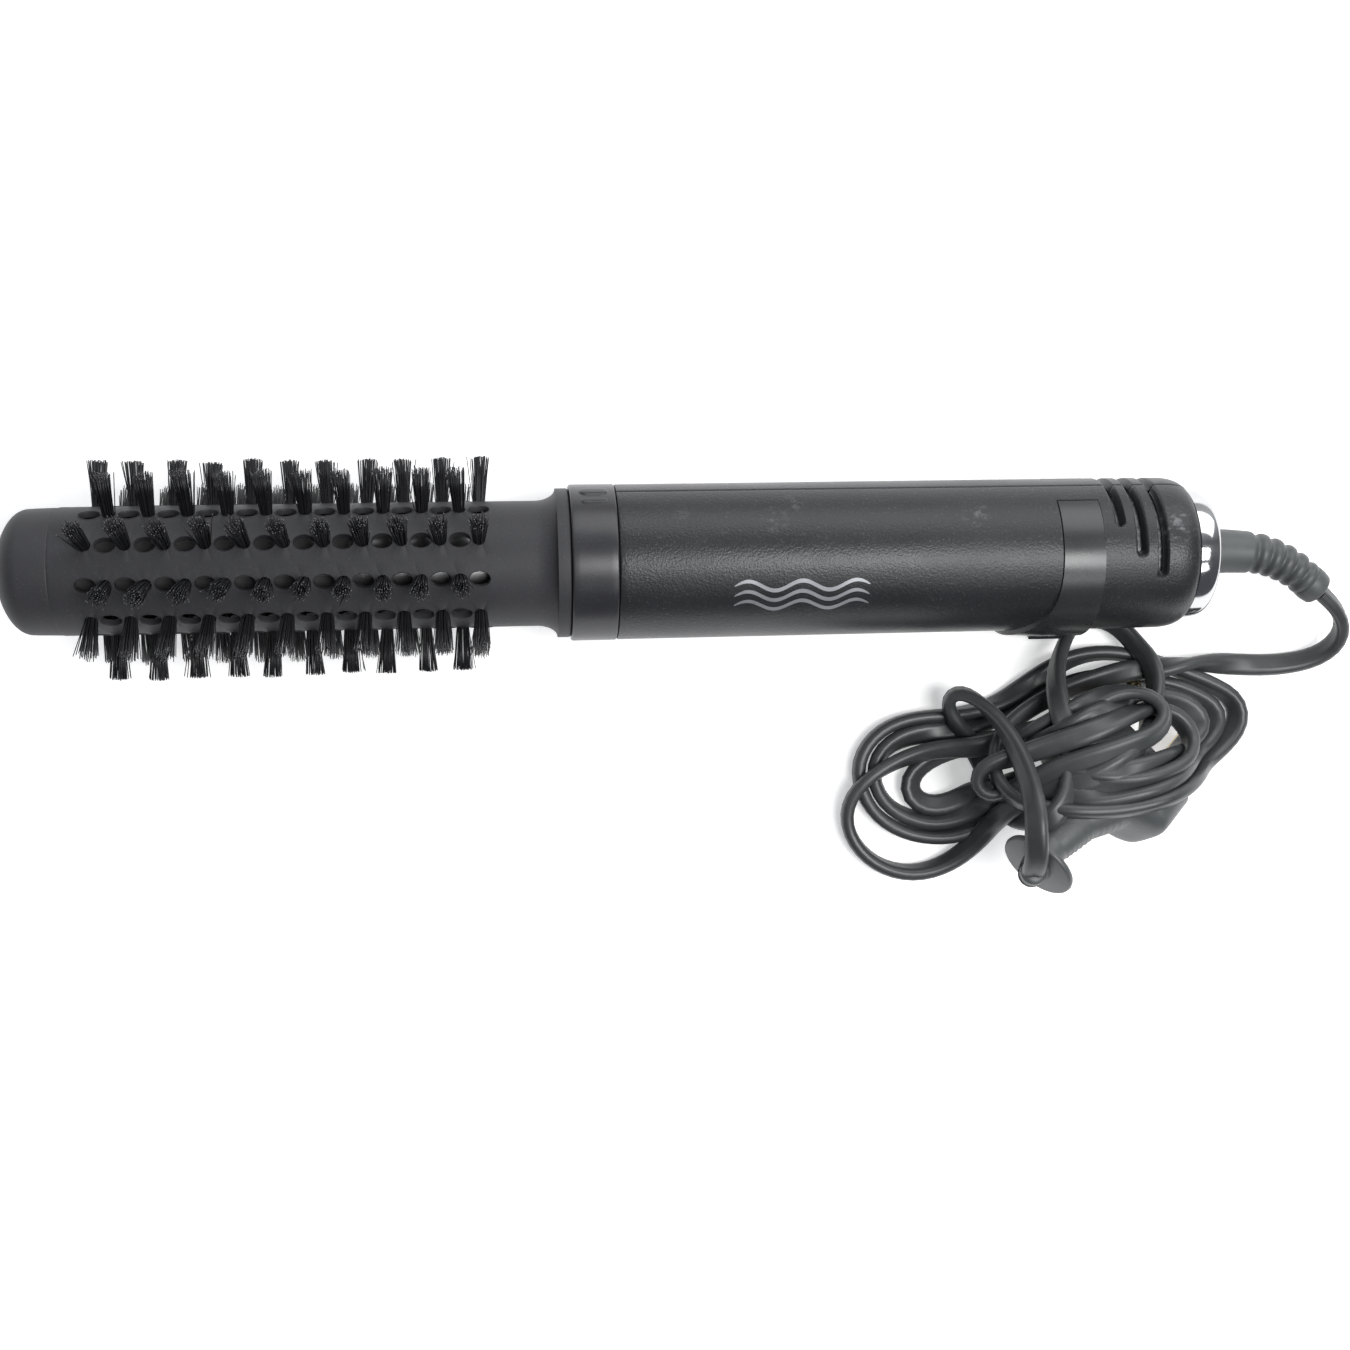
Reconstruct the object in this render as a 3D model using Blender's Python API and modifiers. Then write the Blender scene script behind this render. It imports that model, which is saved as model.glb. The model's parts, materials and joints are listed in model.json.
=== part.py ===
"""Hot air brush: a hand-held styler with a round bristle attachment, on a mains lead tied in a bundle.

Sizes are in millimetres and angles in degrees. A station is a distance from the tip of the brush, along
its axis. Round pieces are drawn about the axis frame: its +Z points out of the tip, its +X points away
from the surface that the brush lies on, and an angle is turned from +X towards +Y, the world's +Y.
"""

import math

import bmesh
import bpy
from mathutils import Matrix, Vector

MM = 0.001
GAP = 0.3  # between neighbouring pieces

# Stations of the outside, from the tip to the cord end.
CAP_END = 14.3
FIRST_HOLE = 22.8
HOLE_PITCH = 9.02
HOLES_IN_ROW = 11
NECK_START = 126.4
NECK_CURVE = 5.1  # length of the curve from the barrel out to the flange
NECK_END = 134.6
SLEEVE_END = 140.6
HANDLE_START = 145.9
BEZEL_START = 253.1
BEZEL_END = 263.9
VENT_STATIONS = (268.1, 273.1, 278.4)
SHELL_END = 288.6
LENGTH = 294.7

# Radii.
CAP_R = 15.2
BARREL_R = 15.3
BARREL_BORE_R = 13.8
FLANGE_R = 18.2
RING_R = 19.1
HANDLE_R = 19.0
HANDLE_BORE_R = 17.0
BEZEL_R = 19.68
BEZEL_OFFSET = 1.08  # the bezel is thicker on the thumb's side, because its outside is set off to there
BEZEL_SEAT_R = 18.0
CHROME_R = 16.8
REAR_R = 13.9

# The lock: lugs on the attachment's sleeve and in the ring, and the marks on the ring's outside.
SLEEVE_LUG_ANGLES = (0, 180)
RING_LUG_ANGLES = (50, 230)
LUG_HALF_ANGLE = 20
RING_LUG_ENDS = (136.6, 138.5)
RING_GROOVE = (140.6, 143.0)
RING_MARK_ANGLES = (46, 59)
RING_MARK_ENDS = (137.4, 143.6)

# Bristles: rows on the barrel, where every second row is moved on by half a pitch.
ROWS = 10
FIRST_ROW_ANGLE = 55.1
TUFT_END_R = 27.0
TUFT_BASE_R = 1.1
TUFT_FLARE_R = 2.45
RAIL_R = (8.6, 9.8)

# Handle: angles of the parting seam, of the thumb's side, and of the air inlets about the seam.
SEAM_ANGLE = 59.0
THUMB_ANGLE = SEAM_ANGLE - 180
VENT_HALF_ANGLES = (43.0, 65.5, 81.7)
VENT_WIDTH = 2.6
BEZEL_HALF_ANGLE = 162.0
SWITCH_TRAVEL = 7.0
BUTTON_START = 252.5  # with the button at its rear stop, where the brush is off
BUTTON_LENGTH = 9.0
STEM_LENGTH = 4.0

# The brush lies on its last ring of tufts and on the bezel, so its tip is the higher end.
LAST_TUFT = FIRST_HOLE + (HOLES_IN_ROW - 1) * HOLE_PITCH + TUFT_FLARE_R
BEZEL_UNDER_R = BEZEL_R + BEZEL_OFFSET * math.cos(math.radians(180 - THUMB_ANGLE))
LIE = math.atan((TUFT_END_R - BEZEL_UNDER_R) / (BEZEL_END - LAST_TUFT))
TIP_HEIGHT = LAST_TUFT * math.sin(LIE) + TUFT_END_R * math.cos(LIE)

# The lead, in world millimetres: out of the rear, round to the surface and back into the bundle.
RELIEF_ROUTE = [(156.0, 0.0, 18.4), (164.0, -0.9, 18.2), (172.0, -4.2, 17.4), (180.1, -10.4, 16.0)]
RELIEF_BASE_R = 6.0
RELIEF_END_R = 4.3
CORD_R = 2.0
CORD_ROUTE = [
    (180.35, -10.6, 15.95),
    (185.6, -14.8, 14.0),
    (189.0, -19.6, 10.6),
    (188.6, -24.4, 6.4),
    (184.4, -27.6, 3.7),
    (177.8, -29.0, 2.5),
    (170.2, -29.4, 2.3),
    (162.4, -29.5, 2.4),
]
# The bundle's outline on the surface, from its left end round by the handle's side.
BUNDLE_OUTLINE = [
    (54.6, -69.0),
    (56.6, -60.0),
    (62.0, -48.0),
    (71.0, -40.6),
    (84.0, -35.5),
    (97.5, -31.5),
    (110.5, -25.6),
    (122.0, -22.8),
    (142.0, -23.6),
    (154.0, -26.6),
    (161.9, -33.0),
    (163.2, -45.6),
    (161.0, -54.4),
    (149.0, -64.0),
    (119.0, -68.2),
    (99.0, -72.3),
    (87.0, -75.0),
    (79.0, -80.4),
    (70.0, -82.2),
    (59.8, -78.8),
]
BUNDLE_HEIGHT = 28.0

# The plug, by its cord end and the way that its pins point. A section is
# (distance from the cord end, half width, half height, squareness), where 2 is an ellipse.
PLUG_PLACE = (101.4, -78.0, 27.6)
PLUG_HEADING = 43.0
PLUG_DIP = 22.0
PLUG_SECTIONS = [
    (0.0, 9.6, 9.6, 2),
    (1.8, 9.6, 9.6, 2),
    (2.6, 4.6, 4.6, 2),
    (7.0, 4.2, 4.2, 2),
    (17.0, 6.4, 6.0, 2.5),
    (25.0, 10.8, 9.0, 3),
    (30.0, 18.5, 12.6, 4),
    (41.0, 18.5, 12.6, 4),
]
PIN_SPACING = 19.0
PIN_LENGTH = 19.0
PIN_R = 2.0


def clear_scene():
    for obj in list(bpy.data.objects):
        bpy.data.objects.remove(obj, do_unlink=True)


def new_collection(name):
    made = bpy.data.collections.new(name)
    bpy.context.scene.collection.children.link(made)
    return made


def new_material(name, colour, roughness, metallic=0.0):
    made = bpy.data.materials.new(name)
    made.use_nodes = True
    shader = made.node_tree.nodes["Principled BSDF"]
    shader.inputs["Base Color"].default_value = (*colour, 1.0)
    shader.inputs["Roughness"].default_value = roughness
    shader.inputs["Metallic"].default_value = metallic
    return made


clear_scene()
PARTS = new_collection("hot_air_brush")
CUTTERS = new_collection("cutters")

SATIN_BLACK = new_material("satin_black", (0.022, 0.022, 0.025), 0.42)
MATT_BLACK = new_material("matt_black", (0.018, 0.018, 0.02), 0.62)
BRISTLE_BLACK = new_material("bristle_black", (0.01, 0.01, 0.011), 0.5)
CHROME = new_material("chrome", (0.8, 0.8, 0.82), 0.1, 1.0)
STEEL = new_material("steel", (0.6, 0.6, 0.62), 0.35, 1.0)
BRASS = new_material("brass", (0.75, 0.62, 0.35), 0.25, 1.0)
MICA = new_material("mica", (0.62, 0.55, 0.42), 0.55)
HEATER_WIRE = new_material("heater_wire", (0.42, 0.38, 0.36), 0.45, 1.0)
BOARD_GREEN = new_material("board_green", (0.05, 0.2, 0.09), 0.5)
HEAT_RESIN = new_material("heat_resin", (0.08, 0.07, 0.06), 0.6)
CORD_BLACK = new_material("cord_black", (0.02, 0.02, 0.022), 0.3)
LEAD_BLUE = new_material("lead_blue", (0.05, 0.12, 0.4), 0.4)
LEAD_BROWN = new_material("lead_brown", (0.2, 0.09, 0.04), 0.4)


def new_frame(name, parent=None):
    """An empty that is the parent of one group of pieces."""
    frame = bpy.data.objects.new(name, None)
    PARTS.objects.link(frame)
    frame.parent = parent
    return frame


def add_object(name, data, finish, parent=None):
    obj = bpy.data.objects.new(name, data)
    PARTS.objects.link(obj)
    obj.parent = parent
    if finish:
        data.materials.append(finish)
    return obj


def smooth(mesh, angle=35):
    mesh.shade_smooth()
    mesh.set_sharp_from_angle(angle=math.radians(angle))


def lathe(name, outline, finish, parent, steps=36):
    """A turned piece. Its outline, in (radius, station), runs down the outside from the tip's end, and
    back up the inside unless it ends on the axis."""
    points = [(radius * MM, 0.0, -station * MM) for radius, station in outline]
    edges = [(i, i + 1) for i in range(len(points) - 1)]
    if outline[0][0] > 0:
        edges.append((len(points) - 1, 0))
    mesh = bpy.data.meshes.new(name)
    mesh.from_pydata(points, edges, [])
    turned = add_object(name, mesh, finish, parent)
    screw = turned.modifiers.new("Turn", "SCREW")
    screw.steps = screw.render_steps = steps
    screw.use_merge_vertices = True
    screw.merge_threshold = 0.00001
    screw.use_smooth_shade = True
    return turned


def tube(name, outer, inner, top, bottom, finish, parent, steps=36):
    return lathe(name, [(outer, top), (outer, bottom), (inner, bottom), (inner, top)], finish, parent, steps)


def polar(radius, angle):
    turn = math.radians(angle)
    return (radius * math.cos(turn), radius * math.sin(turn))


def sector(inner, outer, middle, half_angle, step=12.0):
    """A piece of a ring. Each radius is a number, or a function of the angle from the middle."""
    count = max(2, math.ceil(2 * half_angle / step))
    turns = [half_angle * (2 * i / count - 1) for i in range(count + 1)]
    outside = [polar(outer(t) if callable(outer) else outer, middle + t) for t in turns]
    inside = [polar(inner(t) if callable(inner) else inner, middle + t) for t in reversed(turns)]
    return outside + inside


def mesh_from_curve(drawn, finish, parent):
    """The curve as a mesh with its caps welded, so that it can be cut or joined."""
    bpy.context.view_layer.update()
    evaluated = drawn.evaluated_get(bpy.context.evaluated_depsgraph_get())
    mesh = bpy.data.meshes.new_from_object(evaluated)
    bm = bmesh.new()
    bm.from_mesh(mesh)
    bmesh.ops.remove_doubles(bm, verts=bm.verts, dist=0.000001)
    bmesh.ops.recalc_face_normals(bm, faces=bm.faces)
    bm.to_mesh(mesh)
    bm.free()
    name, place = drawn.name, drawn.matrix_world.copy()
    bpy.data.objects.remove(drawn)
    mesh.materials.clear()
    solid = add_object(name, mesh, finish, parent)
    solid.matrix_basis = place
    return solid


def prism(name, outline, low, high, finish, parent):
    """A flat outline in X and Y, drawn out along Z."""
    curve = bpy.data.curves.new(name, "CURVE")
    curve.dimensions = "2D"
    curve.fill_mode = "BOTH"
    curve.extrude = (high - low) / 2 * MM
    spline = curve.splines.new("POLY")
    spline.points.add(len(outline) - 1)
    for point, (x, y) in zip(spline.points, outline):
        point.co = (x * MM, y * MM, 0, 1)
    spline.use_cyclic_u = True
    drawn = add_object(name, curve, None)
    drawn.location = (0, 0, (low + high) / 2 * MM)
    return mesh_from_curve(drawn, finish, parent)


def ring_piece(name, outline, top, bottom, finish, parent):
    """A prism along the axis, from one station to another."""
    return prism(name, outline, -bottom, -top, finish, parent)


def block(name, radial, across, stations, angle, finish, parent):
    """A box on the axis frame, turned by the angle: radial is (low, high), across is its width."""
    bm = bmesh.new()
    size = (radial[1] - radial[0], across, stations[1] - stations[0])
    scale = Matrix.Diagonal([side * MM for side in size]).to_4x4()
    bmesh.ops.create_cube(bm, size=1, matrix=scale)
    mesh = bpy.data.meshes.new(name)
    bm.to_mesh(mesh)
    bm.free()
    made = add_object(name, mesh, finish, parent)
    middle = Vector((sum(radial) / 2, 0, -sum(stations) / 2)) * MM
    made.rotation_euler = (0, 0, math.radians(angle))
    made.location = Matrix.Rotation(math.radians(angle), 3, "Z") @ middle
    return made


def add_spoke(bm, angle, station, radial, radii, sides, stretch=1.0):
    """A round or oval bar that points out from the axis; stretch lengthens it along the axis."""
    middle = Matrix.Translation(Vector(((radial[0] + radial[1]) / 2, 0, -station)) * MM)
    lying = Matrix.Rotation(math.radians(90), 4, "Y") @ Matrix.Diagonal((stretch, 1, 1, 1))
    bmesh.ops.create_cone(
        bm,
        cap_ends=True,
        segments=sides,
        radius1=radii[0] * MM,
        radius2=radii[1] * MM,
        depth=(radial[1] - radial[0]) * MM,
        matrix=Matrix.Rotation(math.radians(angle), 4, "Z") @ middle @ lying,
    )


def object_from(bm, name, finish, parent):
    bmesh.ops.recalc_face_normals(bm, faces=bm.faces)
    mesh = bpy.data.meshes.new(name)
    bm.to_mesh(mesh)
    bm.free()
    smooth(mesh)
    return add_object(name, mesh, finish, parent)


def combine(target, tool, operation):
    """Cuts with, joins or keeps what is inside the tool, which then is a helper and no part."""
    PARTS.objects.unlink(tool)
    CUTTERS.objects.link(tool)
    tool.hide_render = True
    tool.display_type = "WIRE"
    boolean = target.modifiers.new(tool.name, "BOOLEAN")
    boolean.operation = operation
    boolean.solver = "EXACT"
    boolean.object = tool
    return target


def cut(target, tool):
    return combine(target, tool, "DIFFERENCE")


def join(target, tool):
    return combine(target, tool, "UNION")


def smooth_line(route, step):
    """Points about step apart on a smooth curve through the route's points."""
    points = [Vector(p) for p in route]
    ends = [2 * points[0] - points[1], *points, 2 * points[-1] - points[-2]]
    line = []
    for a, b, c, d in zip(ends, ends[1:], ends[2:], ends[3:]):
        pieces = max(1, round((c - b).length / step))
        for i in range(pieces):
            t = i / pieces
            linear, square = (c - a) * t, (2 * a - 5 * b + 4 * c - d) * t**2
            line.append(0.5 * (2 * b + linear + square + (3 * b - a - 3 * c + d) * t**3))
    return [*line, points[-1]]


def wire(name, line, radii, finish, parent=None, resolution=2):
    """A bar of round section along a line, with one radius or one for each point."""
    curve = bpy.data.curves.new(name, "CURVE")
    curve.dimensions = "3D"
    curve.bevel_depth = MM
    curve.bevel_resolution = resolution
    curve.use_fill_caps = True
    spline = curve.splines.new("POLY")
    spline.points.add(len(line) - 1)
    for i, (point, place) in enumerate(zip(spline.points, line)):
        point.co = (*(Vector(place) * MM), 1)
        point.radius = radii[i] if isinstance(radii, list) else radii
    return add_object(name, curve, finish, parent)


def loft(name, sections, finish, parent, sides=24):
    """A body along +X through unlike sections, each (distance, half width, half height, squareness)."""
    bm = bmesh.new()
    rings = []
    for distance, half_width, half_height, squareness in sections:
        ring = []
        for i in range(sides):
            turn = 2 * math.pi * i / sides
            c, s = math.cos(turn), math.sin(turn)
            y = half_width * math.copysign(abs(c) ** (2 / squareness), c)
            z = half_height * math.copysign(abs(s) ** (2 / squareness), s)
            ring.append(bm.verts.new(Vector((distance, y, z)) * MM))
        rings.append(ring)
    for near, far in zip(rings, rings[1:]):
        for i in range(sides):
            j = (i + 1) % sides
            bm.faces.new((near[i], near[j], far[j], far[i]))
    bm.faces.new(reversed(rings[0]))
    bm.faces.new(rings[-1])
    return object_from(bm, name, finish, parent)


# --- The brush attachment, which pulls off the handle ---


def make_tip_cap(frame):
    dome_depth, dome_r, wall = 7.5, 15.0, 1.8
    outline = []
    for degrees in range(0, 91, 15):
        turn = math.radians(degrees)
        outline.append((dome_r * math.sin(turn), dome_depth * (1 - math.cos(turn))))
    outline[0] = (0.0, 0.0)
    plug_r, plug_bore_r, plug_end = BARREL_BORE_R - 2 * GAP, BARREL_BORE_R - 1.8, CAP_END + 4
    outline += [(CAP_R, CAP_END), (plug_r, CAP_END), (plug_r, plug_end), (plug_bore_r, plug_end)]
    outline += [(plug_bore_r, 9.0), (9.0, 4.5), (0.0, wall)]
    return lathe("tip_cap", outline, MATT_BLACK, frame, steps=30)


def row_layout():
    """(angle, stations of its air holes, stations of its tufts) of each row of the barrel."""
    whole = [FIRST_HOLE + i * HOLE_PITCH for i in range(HOLES_IN_ROW)]
    half = [station + HOLE_PITCH / 2 for station in whole[:-1]]
    for row in range(ROWS):
        angle = FIRST_ROW_ANGLE - row * 360 / ROWS
        yield (angle, whole, half) if row % 2 == 0 else (angle, half, whole)


def tuft_radius_at(radius):
    share = (radius - RAIL_R[0]) / (TUFT_END_R - RAIL_R[0])
    return TUFT_BASE_R + share * (TUFT_FLARE_R - TUFT_BASE_R)


def make_barrel(frame):
    outline = [(BARREL_R, CAP_END + GAP)]
    flare = FLANGE_R - BARREL_R
    for degrees in range(0, 91, 30):
        turn = math.radians(degrees)
        outline.append((BARREL_R + flare * (1 - math.cos(turn)), NECK_START + NECK_CURVE * math.sin(turn)))
    sleeve_r = BARREL_BORE_R + 1.3
    outline += [(FLANGE_R, NECK_END - 0.5), (FLANGE_R - 0.3, NECK_END), (sleeve_r, NECK_END)]
    outline += [(sleeve_r, SLEEVE_END), (BARREL_BORE_R, SLEEVE_END), (BARREL_BORE_R, CAP_END + GAP)]
    barrel = lathe("brush_barrel", outline, MATT_BLACK, frame, steps=2 * ROWS)
    # A flat of the barrel's outline is under each row, so that its holes open in one face.
    barrel.rotation_euler = (0, 0, math.radians(FIRST_ROW_ANGLE - 90 / ROWS))

    holes = bmesh.new()
    through = (BARREL_BORE_R - 2, BARREL_R + 2)
    tuft_hole_r = tuft_radius_at(BARREL_R) + GAP / math.cos(math.radians(30))
    for angle, air_stations, tuft_stations in row_layout():
        for station in air_stations:
            add_spoke(holes, angle, station, through, (1.8, 1.8), 6, stretch=1.5)
        for station in tuft_stations:
            add_spoke(holes, angle, station, through, (tuft_hole_r, tuft_hole_r), 6)
    cut(barrel, object_from(holes, "barrel_holes", None, frame))
    for i, angle in enumerate(SLEEVE_LUG_ANGLES):
        lug = sector(sleeve_r - 0.8, sleeve_r + 1.4, angle, LUG_HALF_ANGLE)
        lug_ends = (SLEEVE_END - 1.7, SLEEVE_END - 0.2)
        join(barrel, ring_piece(f"sleeve_lug_{i + 1}", lug, *lug_ends, None, frame))
    return barrel


def make_bristle_rows(frame):
    """Each row of tufts stands on a rail inside the barrel, below the air holes."""
    for row, (angle, _, stations) in enumerate(row_layout()):
        rail_ends = (FIRST_HOLE - 2.8, stations[-1] + 2.8)
        rail = block(f"bristle_row_{row + 1:02d}", RAIL_R, 3.0, rail_ends, angle, BRISTLE_BLACK, frame)
        tufts = bmesh.new()
        for station in stations:
            foot = RAIL_R[0] + 0.5
            add_spoke(tufts, angle, station, (foot, TUFT_END_R), (TUFT_BASE_R, TUFT_FLARE_R), 6)
        join(rail, object_from(tufts, f"tufts_{row + 1:02d}", None, frame))


def make_air_guide(frame):
    """The core that spreads the air to the holes: a disc inside the tip cap, a rod and three rear arms."""
    core_r = RAIL_R[0] - GAP
    disc_r = BARREL_BORE_R - 1.8 - GAP
    outline = [(0.0, 3.0), (2.0, 3.0), (2.0, 12.0), (disc_r, 12.0), (disc_r, 13.5), (core_r, 13.5)]
    outline += [(core_r, 118.5), (4.0, 121.5), (0.0, 121.5)]
    core = lathe("air_guide_core", outline, HEAT_RESIN, frame, steps=20)
    for i in range(3):
        reach = (core_r - 2, BARREL_BORE_R - 0.5)
        arm = block(f"core_arm_{i + 1}", reach, 1.6, (117.4, 118.2), 19.1 + i * 120, None, frame)
        join(core, arm)
    return core


# --- The lock ring ---


def make_lock_ring(frame):
    start, end, edge = NECK_END + GAP, HANDLE_START - GAP, 0.4
    bore_r, groove_r = RING_R - 2.2, RING_R - 1.1
    outline = [(RING_R - edge, start), (RING_R, start + edge), (RING_R, end - edge), (RING_R - edge, end)]
    outline += [(bore_r, end), (bore_r, RING_GROOVE[1]), (groove_r, RING_GROOVE[1])]
    outline += [(groove_r, RING_GROOVE[0]), (bore_r, RING_GROOVE[0]), (bore_r, start)]
    ring = lathe("lock_ring", outline, SATIN_BLACK, frame)
    # The sleeve's lugs pass between the ring's lugs while the ring is open.
    for i, angle in enumerate(RING_LUG_ANGLES):
        lug = sector(bore_r - 1.4, bore_r + 0.6, angle, LUG_HALF_ANGLE)
        join(ring, ring_piece(f"ring_lug_{i + 1}", lug, *RING_LUG_ENDS, None, frame))
    for i, angle in enumerate(RING_MARK_ANGLES):
        name, reach = f"ring_mark_{i + 1}", (RING_R - 0.8, RING_R + 0.35)
        join(ring, block(name, reach, 1.5, RING_MARK_ENDS, angle, None, frame))
    return ring


# --- The handle ---


def make_nozzle(frame):
    start, flange_start, flange_end, end = 124.0, 142.4, 144.4, 146.2
    outer, bore, flange_r = BARREL_BORE_R - 0.9, BARREL_BORE_R - 1.9, 14.6
    outline = [(outer, start), (outer, flange_start), (flange_r, flange_start), (flange_r, flange_end)]
    outline += [(outer, flange_end), (outer, end), (bore, end), (bore, start)]
    lathe("outlet_nozzle", outline, STEEL, frame, steps=24)
    grille_r = bore - GAP
    grille = tube("outlet_grille", grille_r, grille_r - 1.2, start + 0.4, start + 1.6, HEAT_RESIN, frame, 24)
    for i, angle in enumerate((0, 60, 120)):
        reach = (-grille_r + 0.6, grille_r - 0.6)
        join(grille, block(f"grille_bar_{i + 1}", reach, 1.1, (start + 0.5, start + 1.5), angle, None, frame))


def make_heater(frame):
    start, end, sleeve_r, arm, half_board = 149.0, 202.4, 15.2, 12.4, 0.4
    tube("heater_sleeve", sleeve_r, sleeve_r - 0.5, start, end, MICA, frame, 24)
    cross = []
    for quarter in range(4):
        turn = Matrix.Rotation(math.radians(90 * quarter), 2)
        for corner in ((arm, -half_board), (arm, half_board), (half_board, half_board)):
            cross.append(tuple(turn @ Vector(corner)))
    ring_piece("mica_frame", cross, 156.0, 202.0, MICA, frame)
    turns, per_turn, coil_r, first, last = 5, 12, 13.45, 159.5, 197.5
    line = []
    for i in range(turns * per_turn + 1):
        share = i / (turns * per_turn)
        line.append((*polar(coil_r, 360 * turns * share), -(first + share * (last - first))))
    wire("heating_coil", line, 0.45, HEATER_WIRE, frame, resolution=1)
    lathe("thermostat", [(0, 151.4), (4.2, 151.4), (4.2, 155.2), (0, 155.2)], STEEL, frame, steps=16)
    fuse = lathe("thermal_fuse", [(0, 170), (1.7, 170), (1.7, 181), (0, 181)], STEEL, frame, steps=12)
    fuse.location = Vector((*polar(6.0, 45), 0)) * MM


def make_fan_housing(frame):
    wall = tube("fan_housing", 16.5, 15.4, 203.0, 222.0, HEAT_RESIN, frame, 24)
    join(wall, tube("motor_plate_hub", 6.0, 2.4, 214.4, 216.4, None, frame, 24))
    for i in range(4):
        join(wall, block(f"housing_arm_{i + 1}", (5.2, 16.0), 2.0, (214.6, 216.2), 45 + 90 * i, None, frame))


def make_fan(frame):
    """The impeller and the motor's shaft turn together on the axis."""
    shaft_r, hub_r, blade_end_r, blades = 1.15, 4.5, 14.6, 7
    impeller = tube("impeller", hub_r, shaft_r + GAP, 206.5, 213.4, SATIN_BLACK, frame, 20)
    for i in range(blades):
        angle = 360 / blades * i
        blade = block(f"blade_{i + 1}", (hub_r - 0.8, blade_end_r), 0.9, (207.3, 212.6), angle, None, frame)
        pitch = Matrix.Rotation(math.radians(angle), 4, "Z") @ Matrix.Rotation(math.radians(38), 4, "X")
        blade.rotation_euler = pitch.to_euler()
        join(impeller, blade)
    lathe("motor_shaft", [(0, 205.4), (shaft_r, 205.4), (shaft_r, 242.4), (0, 242.4)], STEEL, frame, steps=16)


def make_motor(frame):
    can_r, bore_r, start, end, edge = 11.9, 1.25, 216.8, 241.0, 0.5
    outline = [(can_r - edge, start), (can_r, start + edge), (can_r, end - edge), (can_r - edge, end)]
    outline += [(bore_r, end), (bore_r, start)]
    lathe("motor", outline, STEEL, frame, steps=24)
    lathe("rectifier_board", [(0, 243), (10.5, 243), (10.5, 244.6), (0, 244.6)], BOARD_GREEN, frame, steps=20)


def bezel_radius(turn):
    """The bezel's outside, by the angle from the thumb's side."""
    side = BEZEL_OFFSET * math.sin(math.radians(turn))
    return BEZEL_OFFSET * math.cos(math.radians(turn)) + math.sqrt(BEZEL_R**2 - side**2)


def stem_slot(name, frame):
    """The opening that the switch's stem slides in."""
    front = BUTTON_START + (BUTTON_LENGTH - STEM_LENGTH) / 2 - SWITCH_TRAVEL - 0.6
    rear = BUTTON_START + (BUTTON_LENGTH + STEM_LENGTH) / 2 + 0.6
    return block(name, (HANDLE_BORE_R - 3, BEZEL_R + 4), 4.2, (front, rear), THUMB_ANGLE, None, frame)


def make_handle_shells(frame):
    """Two half shells that part on the plane through the seam."""
    collar_r, rim_r, collar_bore_r, collar_start = 16.6, 17.65, 15.0, 141.0
    outline = [(rim_r, collar_start), (rim_r, 142.6), (collar_r, 142.6), (collar_r, HANDLE_START)]
    outline += [(HANDLE_R - 0.3, HANDLE_START), (HANDLE_R, HANDLE_START + 0.3), (HANDLE_R, 282.3)]
    outline += [(18.75, 284.8), (18.1, 287.0), (CHROME_R, SHELL_END), (15.1, SHELL_END), (15.1, 285.5)]
    outline += [(HANDLE_BORE_R, 281.5), (HANDLE_BORE_R, 148.6), (collar_bore_r, 147.4)]
    outline += [(collar_bore_r, collar_start)]
    seat = sector(BEZEL_SEAT_R, HANDLE_R + 3, THUMB_ANGLE, BEZEL_HALF_ANGLE + 1.5)
    for name, side in (("handle_shell_top", -90), ("handle_shell_bottom", 90)):
        shell = lathe(name, outline, SATIN_BLACK, frame)
        half = (GAP / 2, 2 * HANDLE_R)
        reach = (collar_start - 10, LENGTH)
        inside = block(f"{name}_half", half, 4 * HANDLE_R, reach, SEAM_ANGLE + side, None, frame)
        combine(shell, inside, "INTERSECT")
        cut(shell, ring_piece(f"{name}_seat", seat, BEZEL_START - GAP, BEZEL_END + GAP, None, frame))
        cut(shell, stem_slot(f"{name}_stem_slot", frame))
        for i, (station, half_angle) in enumerate(zip(VENT_STATIONS, VENT_HALF_ANGLES)):
            vent = sector(HANDLE_BORE_R - 3, HANDLE_R + 3, SEAM_ANGLE, half_angle, step=24)
            top, bottom = station - VENT_WIDTH / 2, station + VENT_WIDTH / 2
            cut(shell, ring_piece(f"{name}_vent_{i + 1}", vent, top, bottom, None, frame))


def make_bezel(frame):
    """The smooth band round the handle that holds the switch's slider, with a tongue under its front stop."""
    outline = sector(BEZEL_SEAT_R + GAP, bezel_radius, THUMB_ANGLE, BEZEL_HALF_ANGLE)
    bezel = ring_piece("switch_bezel", outline, BEZEL_START, BEZEL_END, SATIN_BLACK, frame)
    tongue = sector(HANDLE_R + GAP, lambda turn: bezel_radius(turn) - 0.55, THUMB_ANGLE, 48)
    join(bezel, ring_piece("bezel_tongue", tongue, BUTTON_START - 8, BEZEL_START + 2, None, frame))
    return cut(bezel, stem_slot("bezel_stem_slot", frame))


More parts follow.
